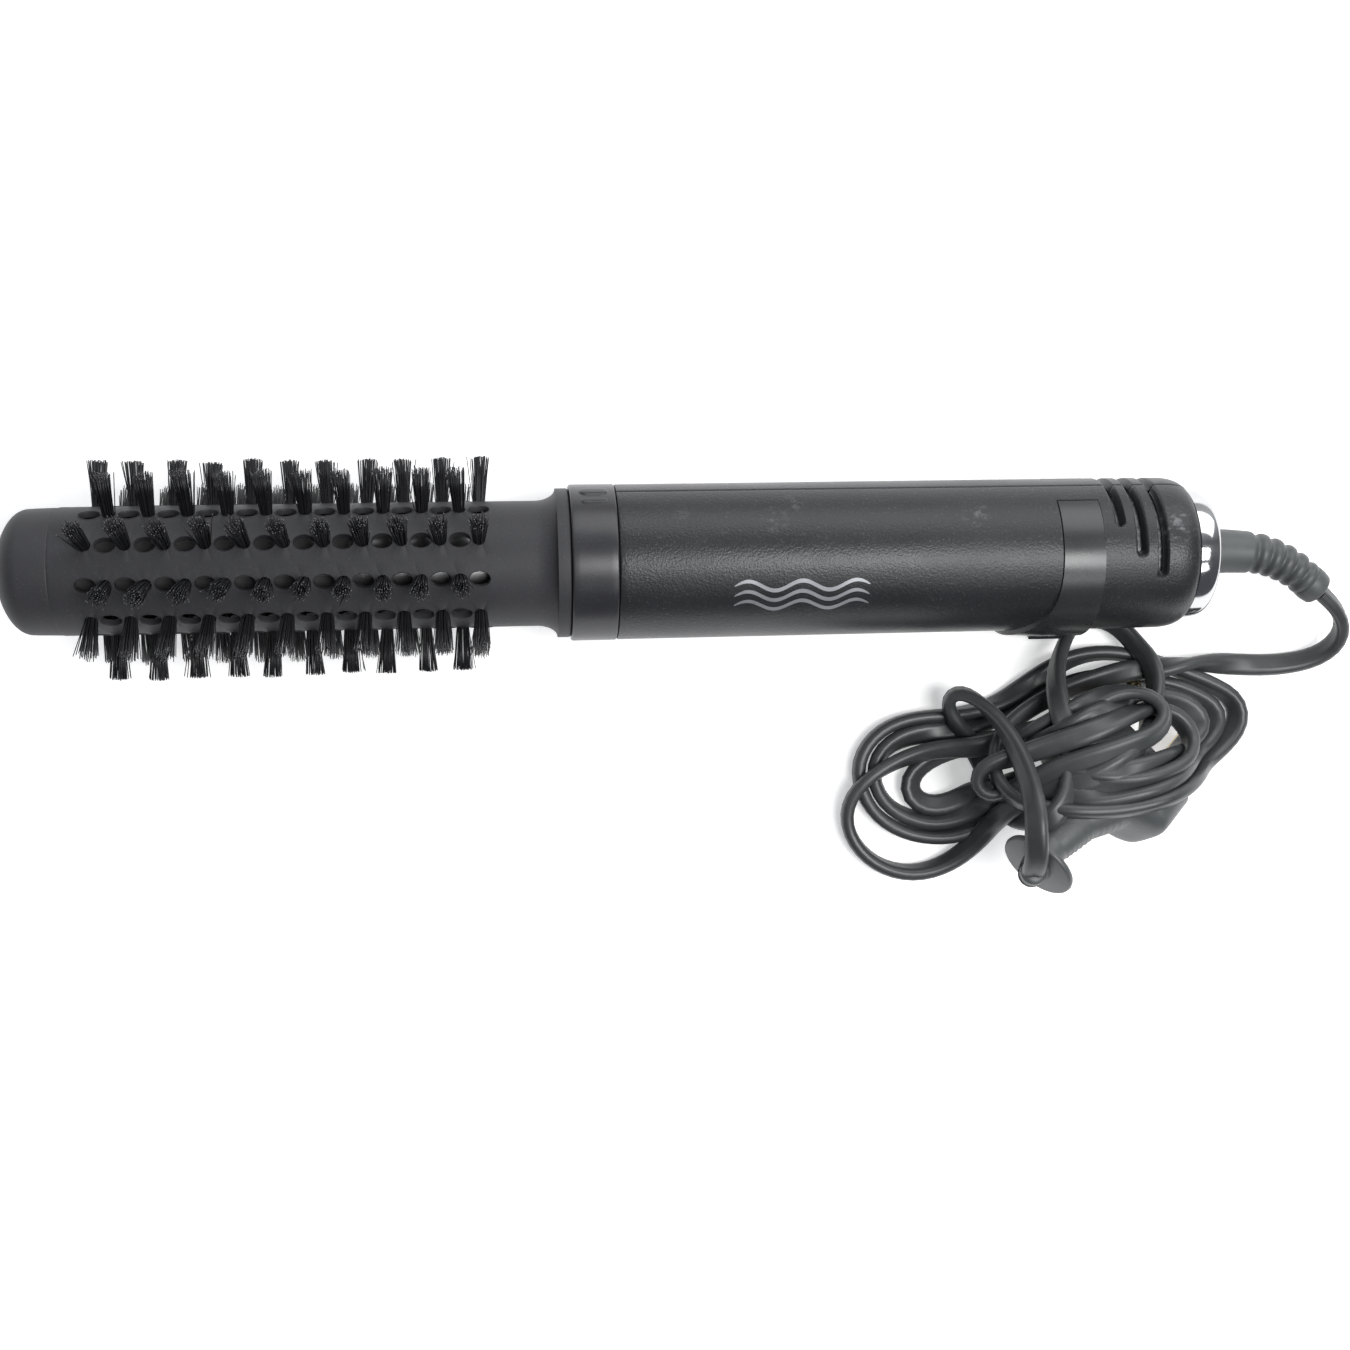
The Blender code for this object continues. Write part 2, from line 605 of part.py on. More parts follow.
def make_switch_slider(frame):
    """The button, its stem and the foot that keeps it in the slot, at the rear stop."""
    start, end = BUTTON_START, BUTTON_START + BUTTON_LENGTH
    button_r = BEZEL_R + BEZEL_OFFSET + 0.4
    reach = (button_r, button_r + 1.9)
    button = block("switch_slider", reach, 8.0, (start, end), THUMB_ANGLE, SATIN_BLACK, frame)
    stem_start = (start + end - STEM_LENGTH) / 2
    stem = (stem_start, stem_start + STEM_LENGTH)
    join(button, block("slider_stem", (15.6, button_r + 0.5), 3.4, stem, THUMB_ANGLE, None, frame))
    foot = (start + 0.6, end - 0.6)
    join(button, block("slider_foot", (15.0, 16.3), 7.2, foot, THUMB_ANGLE, None, frame))
    notch = (stem_start + 0.6, stem_start + STEM_LENGTH - 0.6)
    cut(button, block("slider_notch", (14.0, 16.05), 2.8, notch, THUMB_ANGLE, None, frame))
    middle = stem_start + STEM_LENGTH / 2
    block("switch_lever", (10.8, 15.7), 2.0, (middle - 1, middle + 1), THUMB_ANGLE, HEAT_RESIN, frame)


def make_switch_body(frame):
    body = block("switch_body", (8.3, 13.3), 6.6, (245.4, 264.0), THUMB_ANGLE, HEAT_RESIN, frame)
    middle = BUTTON_START + BUTTON_LENGTH / 2
    well = (middle - SWITCH_TRAVEL - 1.5, middle + 1.5)
    cut(body, block("lever_well", (10.4, 14.0), 2.8, well, THUMB_ANGLE, None, frame))


def make_rear(frame):
    tube("air_filter", 16.4, 15.7, 266.0, 280.4, STEEL, frame, 24)
    start, sleeve_r, bore_r = SHELL_END + GAP, 14.8, 12.4
    outline = [(sleeve_r, 284.6), (sleeve_r, start)]
    for degrees in range(0, 91, 15):
        turn = math.radians(degrees)
        radius = REAR_R + (CHROME_R - REAR_R) * math.cos(turn)
        outline.append((radius, start + (LENGTH - start) * math.sin(turn)))
    outline += [(bore_r, LENGTH), (bore_r, 284.6)]
    lathe("chrome_ring", outline, CHROME, frame)
    tube("end_cap", bore_r - GAP, RELIEF_BASE_R + 0.5, 288.0, LENGTH - 0.9, SATIN_BLACK, frame, 24)
    block("cord_clamp", (1.4, 5.0), 12.0, (278.0, 283.0), 0, HEAT_RESIN, frame)


def make_inner_leads(frame):
    """Two wires from the strain relief, under the clamp, to the switch and to the rectifier board."""
    switch_place = (*polar(10.6, THUMB_ANGLE), -264.4)
    to_switch = [(0, -2.0, -284.4), (0, -2.0, -276.0), (-3.0, -5.6, -269.5), switch_place]
    wire("lead_live", smooth_line(to_switch, 3.0), 0.8, LEAD_BROWN, frame, resolution=1)
    to_board = [(0, 2.0, -284.4), (0, 2.0, -270.0), (1.0, 3.0, -258.0), (0.5, 3.0, -245.0)]
    wire("lead_neutral", smooth_line(to_board, 3.5), 0.8, LEAD_BLUE, frame, resolution=1)


# --- The lead and what is on it ---


def make_strain_relief():
    """A ribbed, tapered boot. Its flange is held inside the end cap."""
    axis_at_rear = Vector((-LENGTH / 2 * math.cos(LIE), 0, TIP_HEIGHT))
    along = Vector((math.cos(LIE), 0, -math.sin(LIE)))
    stations = (284.8, 287.6, 287.8, 292.0, 298.0)
    straight = [axis_at_rear + along * station for station in stations]
    bend = smooth_line([straight[-1], *RELIEF_ROUTE], 1.3)
    line = straight[:-1] + bend
    flange_r, plain_share, rib_depth = 8.0, 0.34, 0.75
    radii = [flange_r, flange_r, RELIEF_BASE_R, RELIEF_BASE_R]
    for i in range(len(bend)):
        share = i / (len(bend) - 1)
        radius = RELIEF_BASE_R + share * (RELIEF_END_R - RELIEF_BASE_R)
        in_groove = share > plain_share and i % 2 == 0
        radii.append(radius - rib_depth if in_groove else radius)
    wire("strain_relief", line, radii, CORD_BLACK, resolution=3)


def plug_frame():
    frame = new_frame("plug_axis")
    frame.location = Vector(PLUG_PLACE) * MM
    frame.rotation_euler = (0, math.radians(PLUG_DIP), math.radians(PLUG_HEADING))
    return frame


def plug_clearance(frame, name, stations, half_width, heights):
    bm = bmesh.new()
    size = (stations[1] - stations[0], 2 * half_width, heights[1] - heights[0])
    scale = Matrix.Diagonal([side * MM for side in size]).to_4x4()
    bmesh.ops.create_cube(bm, size=1, matrix=scale)
    made = object_from(bm, name, None, frame)
    made.location = Vector((sum(stations) / 2, 0, sum(heights) / 2)) * MM
    return made


def make_plug(frame):
    loft("plug_body", PLUG_SECTIONS, SATIN_BLACK, frame)
    for name, side in (("plug_pin_live", -1), ("plug_pin_neutral", 1)):
        start = PLUG_SECTIONS[-1][0] + GAP
        line = [(start, 0, 0), (start + PIN_LENGTH - 1, 0, 0), (start + PIN_LENGTH, 0, 0)]
        pin = wire(name, line, [PIN_R, PIN_R, PIN_R - 0.8], BRASS, frame)
        pin.location = (0, side * PIN_SPACING / 2 * MM, 0)


def make_cord(plug_axis):
    wire("cord_tube", smooth_line(CORD_ROUTE, 5.0), CORD_R, CORD_BLACK)
    bundle = prism("cord_bundle", BUNDLE_OUTLINE, 0.3, BUNDLE_HEIGHT, CORD_BLACK, None)
    waist_end = PLUG_SECTIONS[-3][0]
    base_end = PLUG_SECTIONS[-1][0]
    flange_r, base_half_width = PLUG_SECTIONS[0][1], PLUG_SECTIONS[-1][1]
    deep = (-40, 40)
    pins_end = base_end + PIN_LENGTH + 1.0
    pins_half_width = PIN_SPACING / 2 + PIN_R + 1
    neck_room = ("plug_neck_room", (-20, waist_end + 3), flange_r + 1, deep)
    base_room = ("plug_base_room", (waist_end - 3, base_end + 0.5), base_half_width + 0.5, deep)
    pin_room = ("plug_pin_room", (base_end - 1, pins_end), pins_half_width, (-4, 4))
    for room in (neck_room, base_room, pin_room):
        cut(bundle, plug_clearance(plug_axis, *room))


def main():
    axis = new_frame("brush_axis")
    axis.location = Vector((-LENGTH / 2 * math.cos(LIE), 0, TIP_HEIGHT)) * MM
    axis.rotation_euler = (0, LIE - math.pi / 2, 0)

    attachment = new_frame("attachment_slide", axis)
    make_tip_cap(attachment)
    make_barrel(attachment)
    make_bristle_rows(attachment)
    make_air_guide(attachment)

    make_lock_ring(new_frame("lock_ring_axis", axis))

    make_nozzle(axis)
    make_heater(axis)
    make_fan_housing(axis)
    make_fan(new_frame("fan_axis", axis))
    make_motor(axis)
    make_handle_shells(axis)
    make_bezel(axis)
    make_switch_slider(new_frame("switch_path", axis))
    make_switch_body(axis)
    make_rear(axis)
    make_inner_leads(axis)

    make_strain_relief()
    plug_axis = plug_frame()
    make_plug(plug_axis)
    make_cord(plug_axis)


main()
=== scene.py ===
"""Hot air brush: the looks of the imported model. Sizes in the tables and calls are in millimetres."""

import json
import math
import random

import bmesh
import bpy
import numpy as np
from mathutils import Matrix, Vector, noise


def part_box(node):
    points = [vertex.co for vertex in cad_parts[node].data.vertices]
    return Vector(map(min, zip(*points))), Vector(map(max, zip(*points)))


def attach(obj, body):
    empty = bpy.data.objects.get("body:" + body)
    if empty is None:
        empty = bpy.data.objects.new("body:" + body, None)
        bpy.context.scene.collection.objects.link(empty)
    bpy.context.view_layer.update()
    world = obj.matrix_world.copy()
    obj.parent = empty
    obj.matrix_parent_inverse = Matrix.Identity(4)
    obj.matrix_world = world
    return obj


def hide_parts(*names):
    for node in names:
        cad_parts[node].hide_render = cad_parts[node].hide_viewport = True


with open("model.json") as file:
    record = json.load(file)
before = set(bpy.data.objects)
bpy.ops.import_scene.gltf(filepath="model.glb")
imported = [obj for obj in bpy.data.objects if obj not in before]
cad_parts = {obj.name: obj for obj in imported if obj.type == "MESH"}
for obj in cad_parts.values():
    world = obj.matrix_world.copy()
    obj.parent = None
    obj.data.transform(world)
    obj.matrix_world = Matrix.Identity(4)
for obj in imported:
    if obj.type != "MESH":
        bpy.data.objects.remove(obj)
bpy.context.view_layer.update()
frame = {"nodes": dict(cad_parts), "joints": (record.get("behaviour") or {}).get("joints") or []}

MM = 0.001
NODES = frame["nodes"]

# Stations are distances from the brush's tip along its axis; angles are about the axis, from its upper
# side towards +Y.
CAP_END, CAP_R = 14.3, 15.2
BARREL_R, BARREL_BORE_R = 15.3, 13.8
FIRST_HOLE, HOLE_PITCH, HOLES_IN_ROW = 22.8, 9.02, 11
NECK_START, NECK_END, FLANGE_R = 126.4, 134.6, 18.2
RING_START, RING_END, RING_R = 134.75, 145.78, 19.1
HANDLE_START, HANDLE_END, HANDLE_R = 145.9, 288.6, 19.0
BEZEL_START, BEZEL_END = 253.1, 263.9
BEZEL_R, BEZEL_OFFSET, BEZEL_HALF_ANGLE = 19.68, 1.08, 162.0
VENT_STATIONS = (268.1, 273.1, 278.4)
VENT_HALF_ANGLES = (43.0, 65.5, 81.7)
VENT_WIDTH, VENT_DEPTH = 2.6, 1.9
LENGTH, CHROME_R, REAR_R = 294.7, 16.8, 13.9
ROWS, FIRST_ROW_ANGLE, TUFT_END_R = 10, 55.1, 27.0
SEAM_ANGLE = 59.0
THUMB_ANGLE = SEAM_ANGLE - 180

# The lead, in world millimetres, as part.py lays it.
RELIEF_ROUTE = [(156.0, 0.0, 18.4), (164.0, -0.9, 18.2), (172.0, -4.2, 17.4), (180.1, -10.4, 16.0)]
CORD_START = [
    (180.35, -10.6, 15.95), (185.6, -14.8, 14.0), (189.0, -19.6, 10.6), (188.6, -24.4, 6.4),
    (184.4, -27.6, 3.7), (177.8, -29.0, 2.5), (170.2, -29.4, 2.3),
]
PLUG_PLACE, PLUG_HEADING, PLUG_DIP = (101.4, -78.0, 27.6), 43.0, 22.0
CORD_WIDTH, CORD_THICKNESS = 5.8, 3.6


# --- The axis and the camera ---


def axis_frame():
    """A matrix on the brush's axis: its origin is the tip, +Z points out of it, and +X up."""
    slide = next(j for j in frame["joints"] if j["name"] == "attachment_slide")
    fan = next(j for j in frame["joints"] if j["name"] == "fan_spin")
    out = Vector(slide["axis"]).normalized()
    on_axis = Vector(fan["pos_m"])
    tip_reach = max(v.co.dot(out) for v in NODES["tip_cap"].data.vertices)
    tip = on_axis + out * (tip_reach - on_axis.dot(out))
    across = Vector((0, 1, 0))
    up = across.cross(out)
    return Matrix.Translation(tip) @ Matrix((up, across, out)).transposed().to_4x4()


AXIS = axis_frame()


def make_camera():
    data = bpy.data.cameras.new("camera")
    data.sensor_width = 36
    data.lens = 44.887
    camera = bpy.data.objects.new("camera", data)
    bpy.context.scene.collection.objects.link(camera)
    camera.location = (-0.011665, -0.027542, 0.439861)
    camera.rotation_euler = (0, math.radians(-3.372), math.radians(-1.408))
    bpy.context.scene.camera = camera


make_camera()


# --- Helpers ---


def add_object(name, data, body, finish=None, place=None):
    if place is not None:
        data.transform(place)
    obj = bpy.data.objects.new(name, data)
    bpy.context.scene.collection.objects.link(obj)
    if finish:
        data.materials.append(finish)
    bpy.context.view_layer.update()
    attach(obj, body)
    return obj


def mesh_from(name, points, faces, smooth_angle=40):
    """A smooth-shaded mesh from points in millimetres."""
    mesh = bpy.data.meshes.new(name)
    mesh.from_pydata([tuple(c * MM for c in p) for p in points], [], faces)
    bm = bmesh.new()
    bm.from_mesh(mesh)
    bmesh.ops.remove_doubles(bm, verts=bm.verts, dist=0.000002)
    bmesh.ops.recalc_face_normals(bm, faces=bm.faces)
    bm.to_mesh(mesh)
    bm.free()
    mesh.shade_smooth()
    mesh.set_sharp_from_angle(angle=math.radians(smooth_angle))
    return mesh


def polar(radius, angle, station):
    turn = math.radians(angle)
    return (radius * math.cos(turn), radius * math.sin(turn), -station)


def grid_faces(rows, columns, closed):
    faces = []
    for i in range(rows - 1):
        for j in range(columns if closed else columns - 1):
            k = (j + 1) % columns
            row, below = i * columns, (i + 1) * columns
            faces.append((row + j, row + k, below + k, below + j))
    return faces


def end_faces(count, total):
    """The two faces that close a shape whose rings have count points, out of total points."""
    return [tuple(reversed(range(count))), tuple(range(total - count, total))]


def lathe(name, outline, steps=120, smooth_angle=40):
    """A turned surface through (radius, station) points, in the axis frame."""
    points = [polar(r, 360 * j / steps, s) for r, s in outline for j in range(steps)]
    return mesh_from(name, points, grid_faces(len(outline), steps, True), smooth_angle)


def arc(centre_r, centre_s, radius, start, end, count=6, squash=1.0):
    """Outline points round a corner; 0 degrees points out from the axis, and 90 to the rear."""
    turns = [math.radians(start + (end - start) * i / (count - 1)) for i in range(count)]
    return [(centre_r + radius * math.cos(t), centre_s + radius * squash * math.sin(t)) for t in turns]


def smoothstep(low, high, value):
    share = min(1.0, max(0.0, (value - low) / (high - low)))
    return share * share * (3 - 2 * share)


def rounded_edge(distance, radius):
    """How far up a round edge is at a distance from it: 0 at the edge, and 1 past its radius."""
    return math.sqrt(max(0.0, 1 - max(0.0, 1 - distance / radius) ** 2))


def smooth_line(route, step):
    """Points about step apart on a smooth curve through the route's points."""
    points = [Vector(p) for p in route]
    ends = [2 * points[0] - points[1], *points, 2 * points[-1] - points[-2]]
    line = []
    for a, b, c, d in zip(ends, ends[1:], ends[2:], ends[3:]):
        pieces = max(1, round((c - b).length / step))
        for i in range(pieces):
            t = i / pieces
            linear, square = (c - a) * t, (2 * a - 5 * b + 4 * c - d) * t**2
            line.append(0.5 * (2 * b + linear + square + (3 * b - a - 3 * c + d) * t**3))
    return [*line, points[-1]]


def evenly(line, step):
    """The same line with its points step apart."""
    line = np.array([tuple(p) for p in line])
    walked = np.concatenate([[0], np.cumsum(np.linalg.norm(np.diff(line, axis=0), axis=1))])
    count = max(2, round(walked[-1] / step) + 1)
    places = np.linspace(0, walked[-1], count)
    return np.stack([np.interp(places, walked, line[:, i]) for i in range(3)], axis=1)


# --- Materials ---


def new_shader(name, colour, roughness, metallic=0.0, coat=0.0, specular=0.5):
    made = bpy.data.materials.new(name)
    made.use_nodes = True
    tree = made.node_tree
    shader = tree.nodes["Principled BSDF"]
    shader.inputs["Base Color"].default_value = (*colour, 1)
    shader.inputs["Roughness"].default_value = roughness
    shader.inputs["Metallic"].default_value = metallic
    shader.inputs["Specular IOR Level"].default_value = specular
    shader.inputs["Coat Weight"].default_value = coat
    return made, tree, shader


def noise_node(tree, scale, detail=3.0, roughness=0.5, stretch=None, kind="ShaderNodeTexNoise"):
    """A texture in the object's own coordinates, in cycles per metre."""
    place = tree.nodes.new("ShaderNodeTexCoord")
    texture = tree.nodes.new(kind)
    texture.inputs["Scale"].default_value = scale
    if kind == "ShaderNodeTexNoise":
        texture.inputs["Detail"].default_value = detail
        texture.inputs["Roughness"].default_value = roughness
    if stretch:
        mapping = tree.nodes.new("ShaderNodeMapping")
        mapping.inputs["Scale"].default_value = stretch
        tree.links.new(place.outputs["Object"], mapping.inputs["Vector"])
        tree.links.new(mapping.outputs["Vector"], texture.inputs["Vector"])
    else:
        tree.links.new(place.outputs["Object"], texture.inputs["Vector"])
    return texture


def ramp(tree, source, stops):
    node = tree.nodes.new("ShaderNodeValToRGB")
    while len(node.color_ramp.elements) < len(stops):
        node.color_ramp.elements.new(0.5)
    for element, (at, colour) in zip(node.color_ramp.elements, stops):
        element.position = at
        element.color = (colour, colour, colour, 1) if isinstance(colour, (int, float)) else (*colour, 1)
    tree.links.new(source, node.inputs["Fac"])
    return node.outputs["Color"]


def feed(tree, socket, value):
    """Links a node's output to a socket, or sets the socket to a plain value."""
    if isinstance(value, bpy.types.NodeSocket):
        tree.links.new(value, socket)
    else:
        socket.default_value = value


def mixed(tree, fac, first, second):
    node = tree.nodes.new("ShaderNodeMix")
    node.data_type = "RGBA"
    tree.links.new(fac, node.inputs["Factor"])
    for name, value in (("A", first), ("B", second)):
        feed(tree, node.inputs[name], value if isinstance(value, bpy.types.NodeSocket) else (*value, 1))
    return node.outputs["Result"]


def math_node(tree, operation, first, second):
    node = tree.nodes.new("ShaderNodeMath")
    node.operation = operation
    for socket, value in zip(node.inputs, (first, second)):
        feed(tree, socket, value)
    return node.outputs["Value"]


def add_bump(tree, shader, height, strength, distance):
    bump = tree.nodes.new("ShaderNodeBump")
    bump.inputs["Strength"].default_value = strength
    bump.inputs["Distance"].default_value = distance * MM
    tree.links.new(height, bump.inputs["Height"])
    if shader.inputs["Normal"].is_linked:
        tree.links.new(shader.inputs["Normal"].links[0].from_socket, bump.inputs["Normal"])
    tree.links.new(bump.outputs["Normal"], shader.inputs["Normal"])


def moulded(name, colour, pale, rough, grain, grain_depth, scuffs=0.35, coat=0.0, specular=0.5):
    """Moulded plastic: a fine grain, cloudy handling marks in colour and gloss, and pale rubbed spots."""
    made, tree, shader = new_shader(name, colour, 0.5, coat=coat, specular=specular)
    clouds = noise_node(tree, 38, 4).outputs["Fac"]
    fine = noise_node(tree, grain, 2, 0.6).outputs["Fac"]
    rubs = noise_node(tree, 95, 6, 0.7, stretch=(1, 1, 0.45)).outputs["Fac"]
    rubbed = ramp(tree, rubs, [(0.0, 0), (0.62, 0), (0.78, scuffs), (1.0, scuffs)])
    base = mixed(tree, ramp(tree, clouds, [(0.3, 0), (0.75, 1)]), colour, [c * 1.25 for c in colour])
    speck = ramp(tree, fine, [(0.0, 0), (0.62, 0), (0.8, 0.35), (1.0, 0.35)])
    base = mixed(tree, speck, base, pale)
    tree.links.new(mixed(tree, rubbed, base, pale), shader.inputs["Base Color"])
    uneven = math_node(tree, "MULTIPLY", clouds, 0.22)
    tree.links.new(math_node(tree, "ADD", uneven, rough - 0.11), shader.inputs["Roughness"])
    add_bump(tree, shader, fine, 0.6, grain_depth)
    return made


# Where the handle's upper side is rubbed pale: (the middle of the patch, its reach), in world millimetres.
RUBBED = [
    ((14.1, 7.8, 37.0), 4.2),
    ((36.2, 6.6, 37.5), 4.5),
    ((41.0, 10.1, 35.0), 4.5),
    ((58.9, 6.7, 37.0), 1.8),
    ((85.5, 7.5, 36.0), 4.0),
    ((135.9, 5.4, 37.0), 4.5),
]


def rub_spots(made):
    """Pale rubbed patches at their places on the handle, broken up by fine scratches."""
    tree = made.node_tree
    shader = tree.nodes["Principled BSDF"]
    place = tree.nodes.new("ShaderNodeTexCoord").outputs["Object"]
    near = None
    for spot, reach in RUBBED:
        away = tree.nodes.new("ShaderNodeVectorMath")
        away.operation = "DISTANCE"
        tree.links.new(place, away.inputs[0])
        away.inputs[1].default_value = tuple(c * MM for c in spot)
        share = tree.nodes.new("ShaderNodeMapRange")
        share.inputs["From Min"].default_value = reach * 1.25 * MM
        share.inputs["From Max"].default_value = reach * 0.2 * MM
        tree.links.new(away.outputs["Value"], share.inputs["Value"])
        reached = share.outputs["Result"]
        near = reached if near is None else math_node(tree, "MAXIMUM", near, reached)
    scratch = noise_node(tree, 620, 6, 0.75, stretch=(0.6, 1, 1)).outputs["Fac"]
    scratched = ramp(tree, scratch, [(0.0, 0), (0.50, 0), (0.62, 0.75), (1.0, 0.9)])
    worn = math_node(tree, "MULTIPLY", near, scratched)
    old = shader.inputs["Base Color"].links[0].from_socket
    tree.links.new(mixed(tree, worn, old, (0.19, 0.2, 0.21)), shader.inputs["Base Color"])
    return made


def metal(name, colour, dark, rough, brushed, stretch, depth=0.02):
    """Metal with fine brushing or pitting, and tarnish in patches."""
    made, tree, shader = new_shader(name, colour, rough, metallic=1.0)
    grain = noise_node(tree, brushed, 3, 0.6, stretch=stretch).outputs["Fac"]
    stain = noise_node(tree, 130, 4).outputs["Fac"]
    stained = ramp(tree, stain, [(0.45, 0), (0.8, 1)])
    tree.links.new(mixed(tree, stained, colour, dark), shader.inputs["Base Color"])
    uneven = math_node(tree, "MULTIPLY", grain, 0.12)
    tree.links.new(math_node(tree, "ADD", uneven, rough - 0.05), shader.inputs["Roughness"])
    add_bump(tree, shader, grain, 0.3, depth)
    return made


def wire_mesh(name):
    """A dark woven filter."""
    made, tree, shader = new_shader(name, (0.03, 0.03, 0.03), 0.5, metallic=0.6)
    weave = noise_node(tree, 900, kind="ShaderNodeTexVoronoi")
    threads = [(0.2, (0.07, 0.072, 0.075)), (0.5, (0.13, 0.133, 0.137))]
    tree.links.new(ramp(tree, weave.outputs["Distance"], threads), shader.inputs["Base Color"])
    add_bump(tree, shader, weave.outputs["Distance"], 0.7, 0.2)
    return made


def rubber(name, colour, rough, coat=0.0):
    """Soft black PVC, with dull dusty patches and faint draw lines."""
    made, tree, shader = new_shader(name, colour, rough, coat=coat)
    dust = noise_node(tree, 55, 5, 0.65).outputs["Fac"]
    fine = noise_node(tree, 2400, 2).outputs["Fac"]
    dusted = ramp(tree, dust, [(0.42, 0), (0.8, 0.55)])
    dusty = [c * 1.9 + 0.006 for c in colour]
    tree.links.new(mixed(tree, dusted, colour, dusty), shader.inputs["Base Color"])
    dull = math_node(tree, "MULTIPLY", dust, 0.28)
    tree.links.new(math_node(tree, "ADD", dull, rough - 0.13), shader.inputs["Roughness"])
    add_bump(tree, shader, fine, 0.35, 0.03)
    add_bump(tree, shader, dust, 0.25, 0.25)
    return made


GREY = (0.16, 0.165, 0.17)  # what worn and dusty plastic goes towards


def make_materials():
    handle = moulded("handle_satin", (0.015, 0.0165, 0.0185), GREY, 0.36, 1700, 0.16, 0.05, specular=0.4)
    # Painted glint: a pale grey finish on the bristles' cut ends that stands in for light glinting off them.
    painted_glint_end = moulded("bristle_painted_glint_end", (0.16, 0.16, 0.17), (0.4, 0.4, 0.42), 0.35, 1800, 0.01, 0.5)
    board = moulded("board_green", (0.03, 0.14, 0.06), (0.3, 0.4, 0.3), 0.45, 1200, 0.02, 0.2)
    chrome = metal("chrome", (0.55, 0.556, 0.56), (0.46, 0.465, 0.47), 0.09, 900, (1, 1, 0.1), 0.004)
    wire = metal("heater_wire", (0.4, 0.36, 0.34), (0.2, 0.17, 0.16), 0.42, 2500, (1, 1, 1))
    silver = metal("silver_print", (0.42, 0.43, 0.45), (0.3, 0.3, 0.32), 0.5, 3200, (1, 1, 1), 0.01)
    return {
        "barrel": moulded("barrel_matte", (0.030, 0.030, 0.034), GREY, 0.55, 2600, 0.03, 0.06, specular=0.35),
        "handle": rub_spots(handle),
        "ring": moulded("ring_satin", (0.019, 0.019, 0.023), GREY, 0.34, 3000, 0.02, 0.12),
        "bezel": moulded("bezel_worn", (0.022, 0.024, 0.025), GREY, 0.27, 3000, 0.015, 0.45),
        "dark": moulded("inner_resin", (0.09, 0.088, 0.09), GREY, 0.5, 1500, 0.03, 0.05),
        "bristle": moulded("bristle_nylon", (0.012, 0.012, 0.014), GREY, 0.38, 1800, 0.01, 0.12),
        "bristle_end_painted_glint": painted_glint_end,
        "chrome": chrome,
        "steel": metal("steel", (0.55, 0.55, 0.56), (0.36, 0.34, 0.33), 0.34, 1500, (1, 1, 0.08)),
        "brass": metal("brass", (0.78, 0.66, 0.42), (0.5, 0.4, 0.24), 0.24, 1500, (0.1, 1, 1)),
        "heater_wire": wire,
        "silver": silver,
        "mica": moulded("mica", (0.5, 0.43, 0.31), (0.7, 0.66, 0.55), 0.5, 800, 0.08, 0.6),
        "board": board,
        "filter": wire_mesh("filter_mesh"),
        "cord": rubber("cord_pvc", (0.036, 0.039, 0.040), 0.38),
        "relief": rubber("relief_rubber", (0.058, 0.063, 0.064), 0.46),
        "plug": moulded("plug_pvc", (0.065, 0.070, 0.072), GREY, 0.42, 1500, 0.05, 0.2),
        "lead_blue": rubber("lead_blue", (0.03, 0.09, 0.34), 0.4),
        "lead_brown": rubber("lead_brown", (0.16, 0.07, 0.03), 0.4),
    }


FINISH = make_materials()


# --- The lead ---

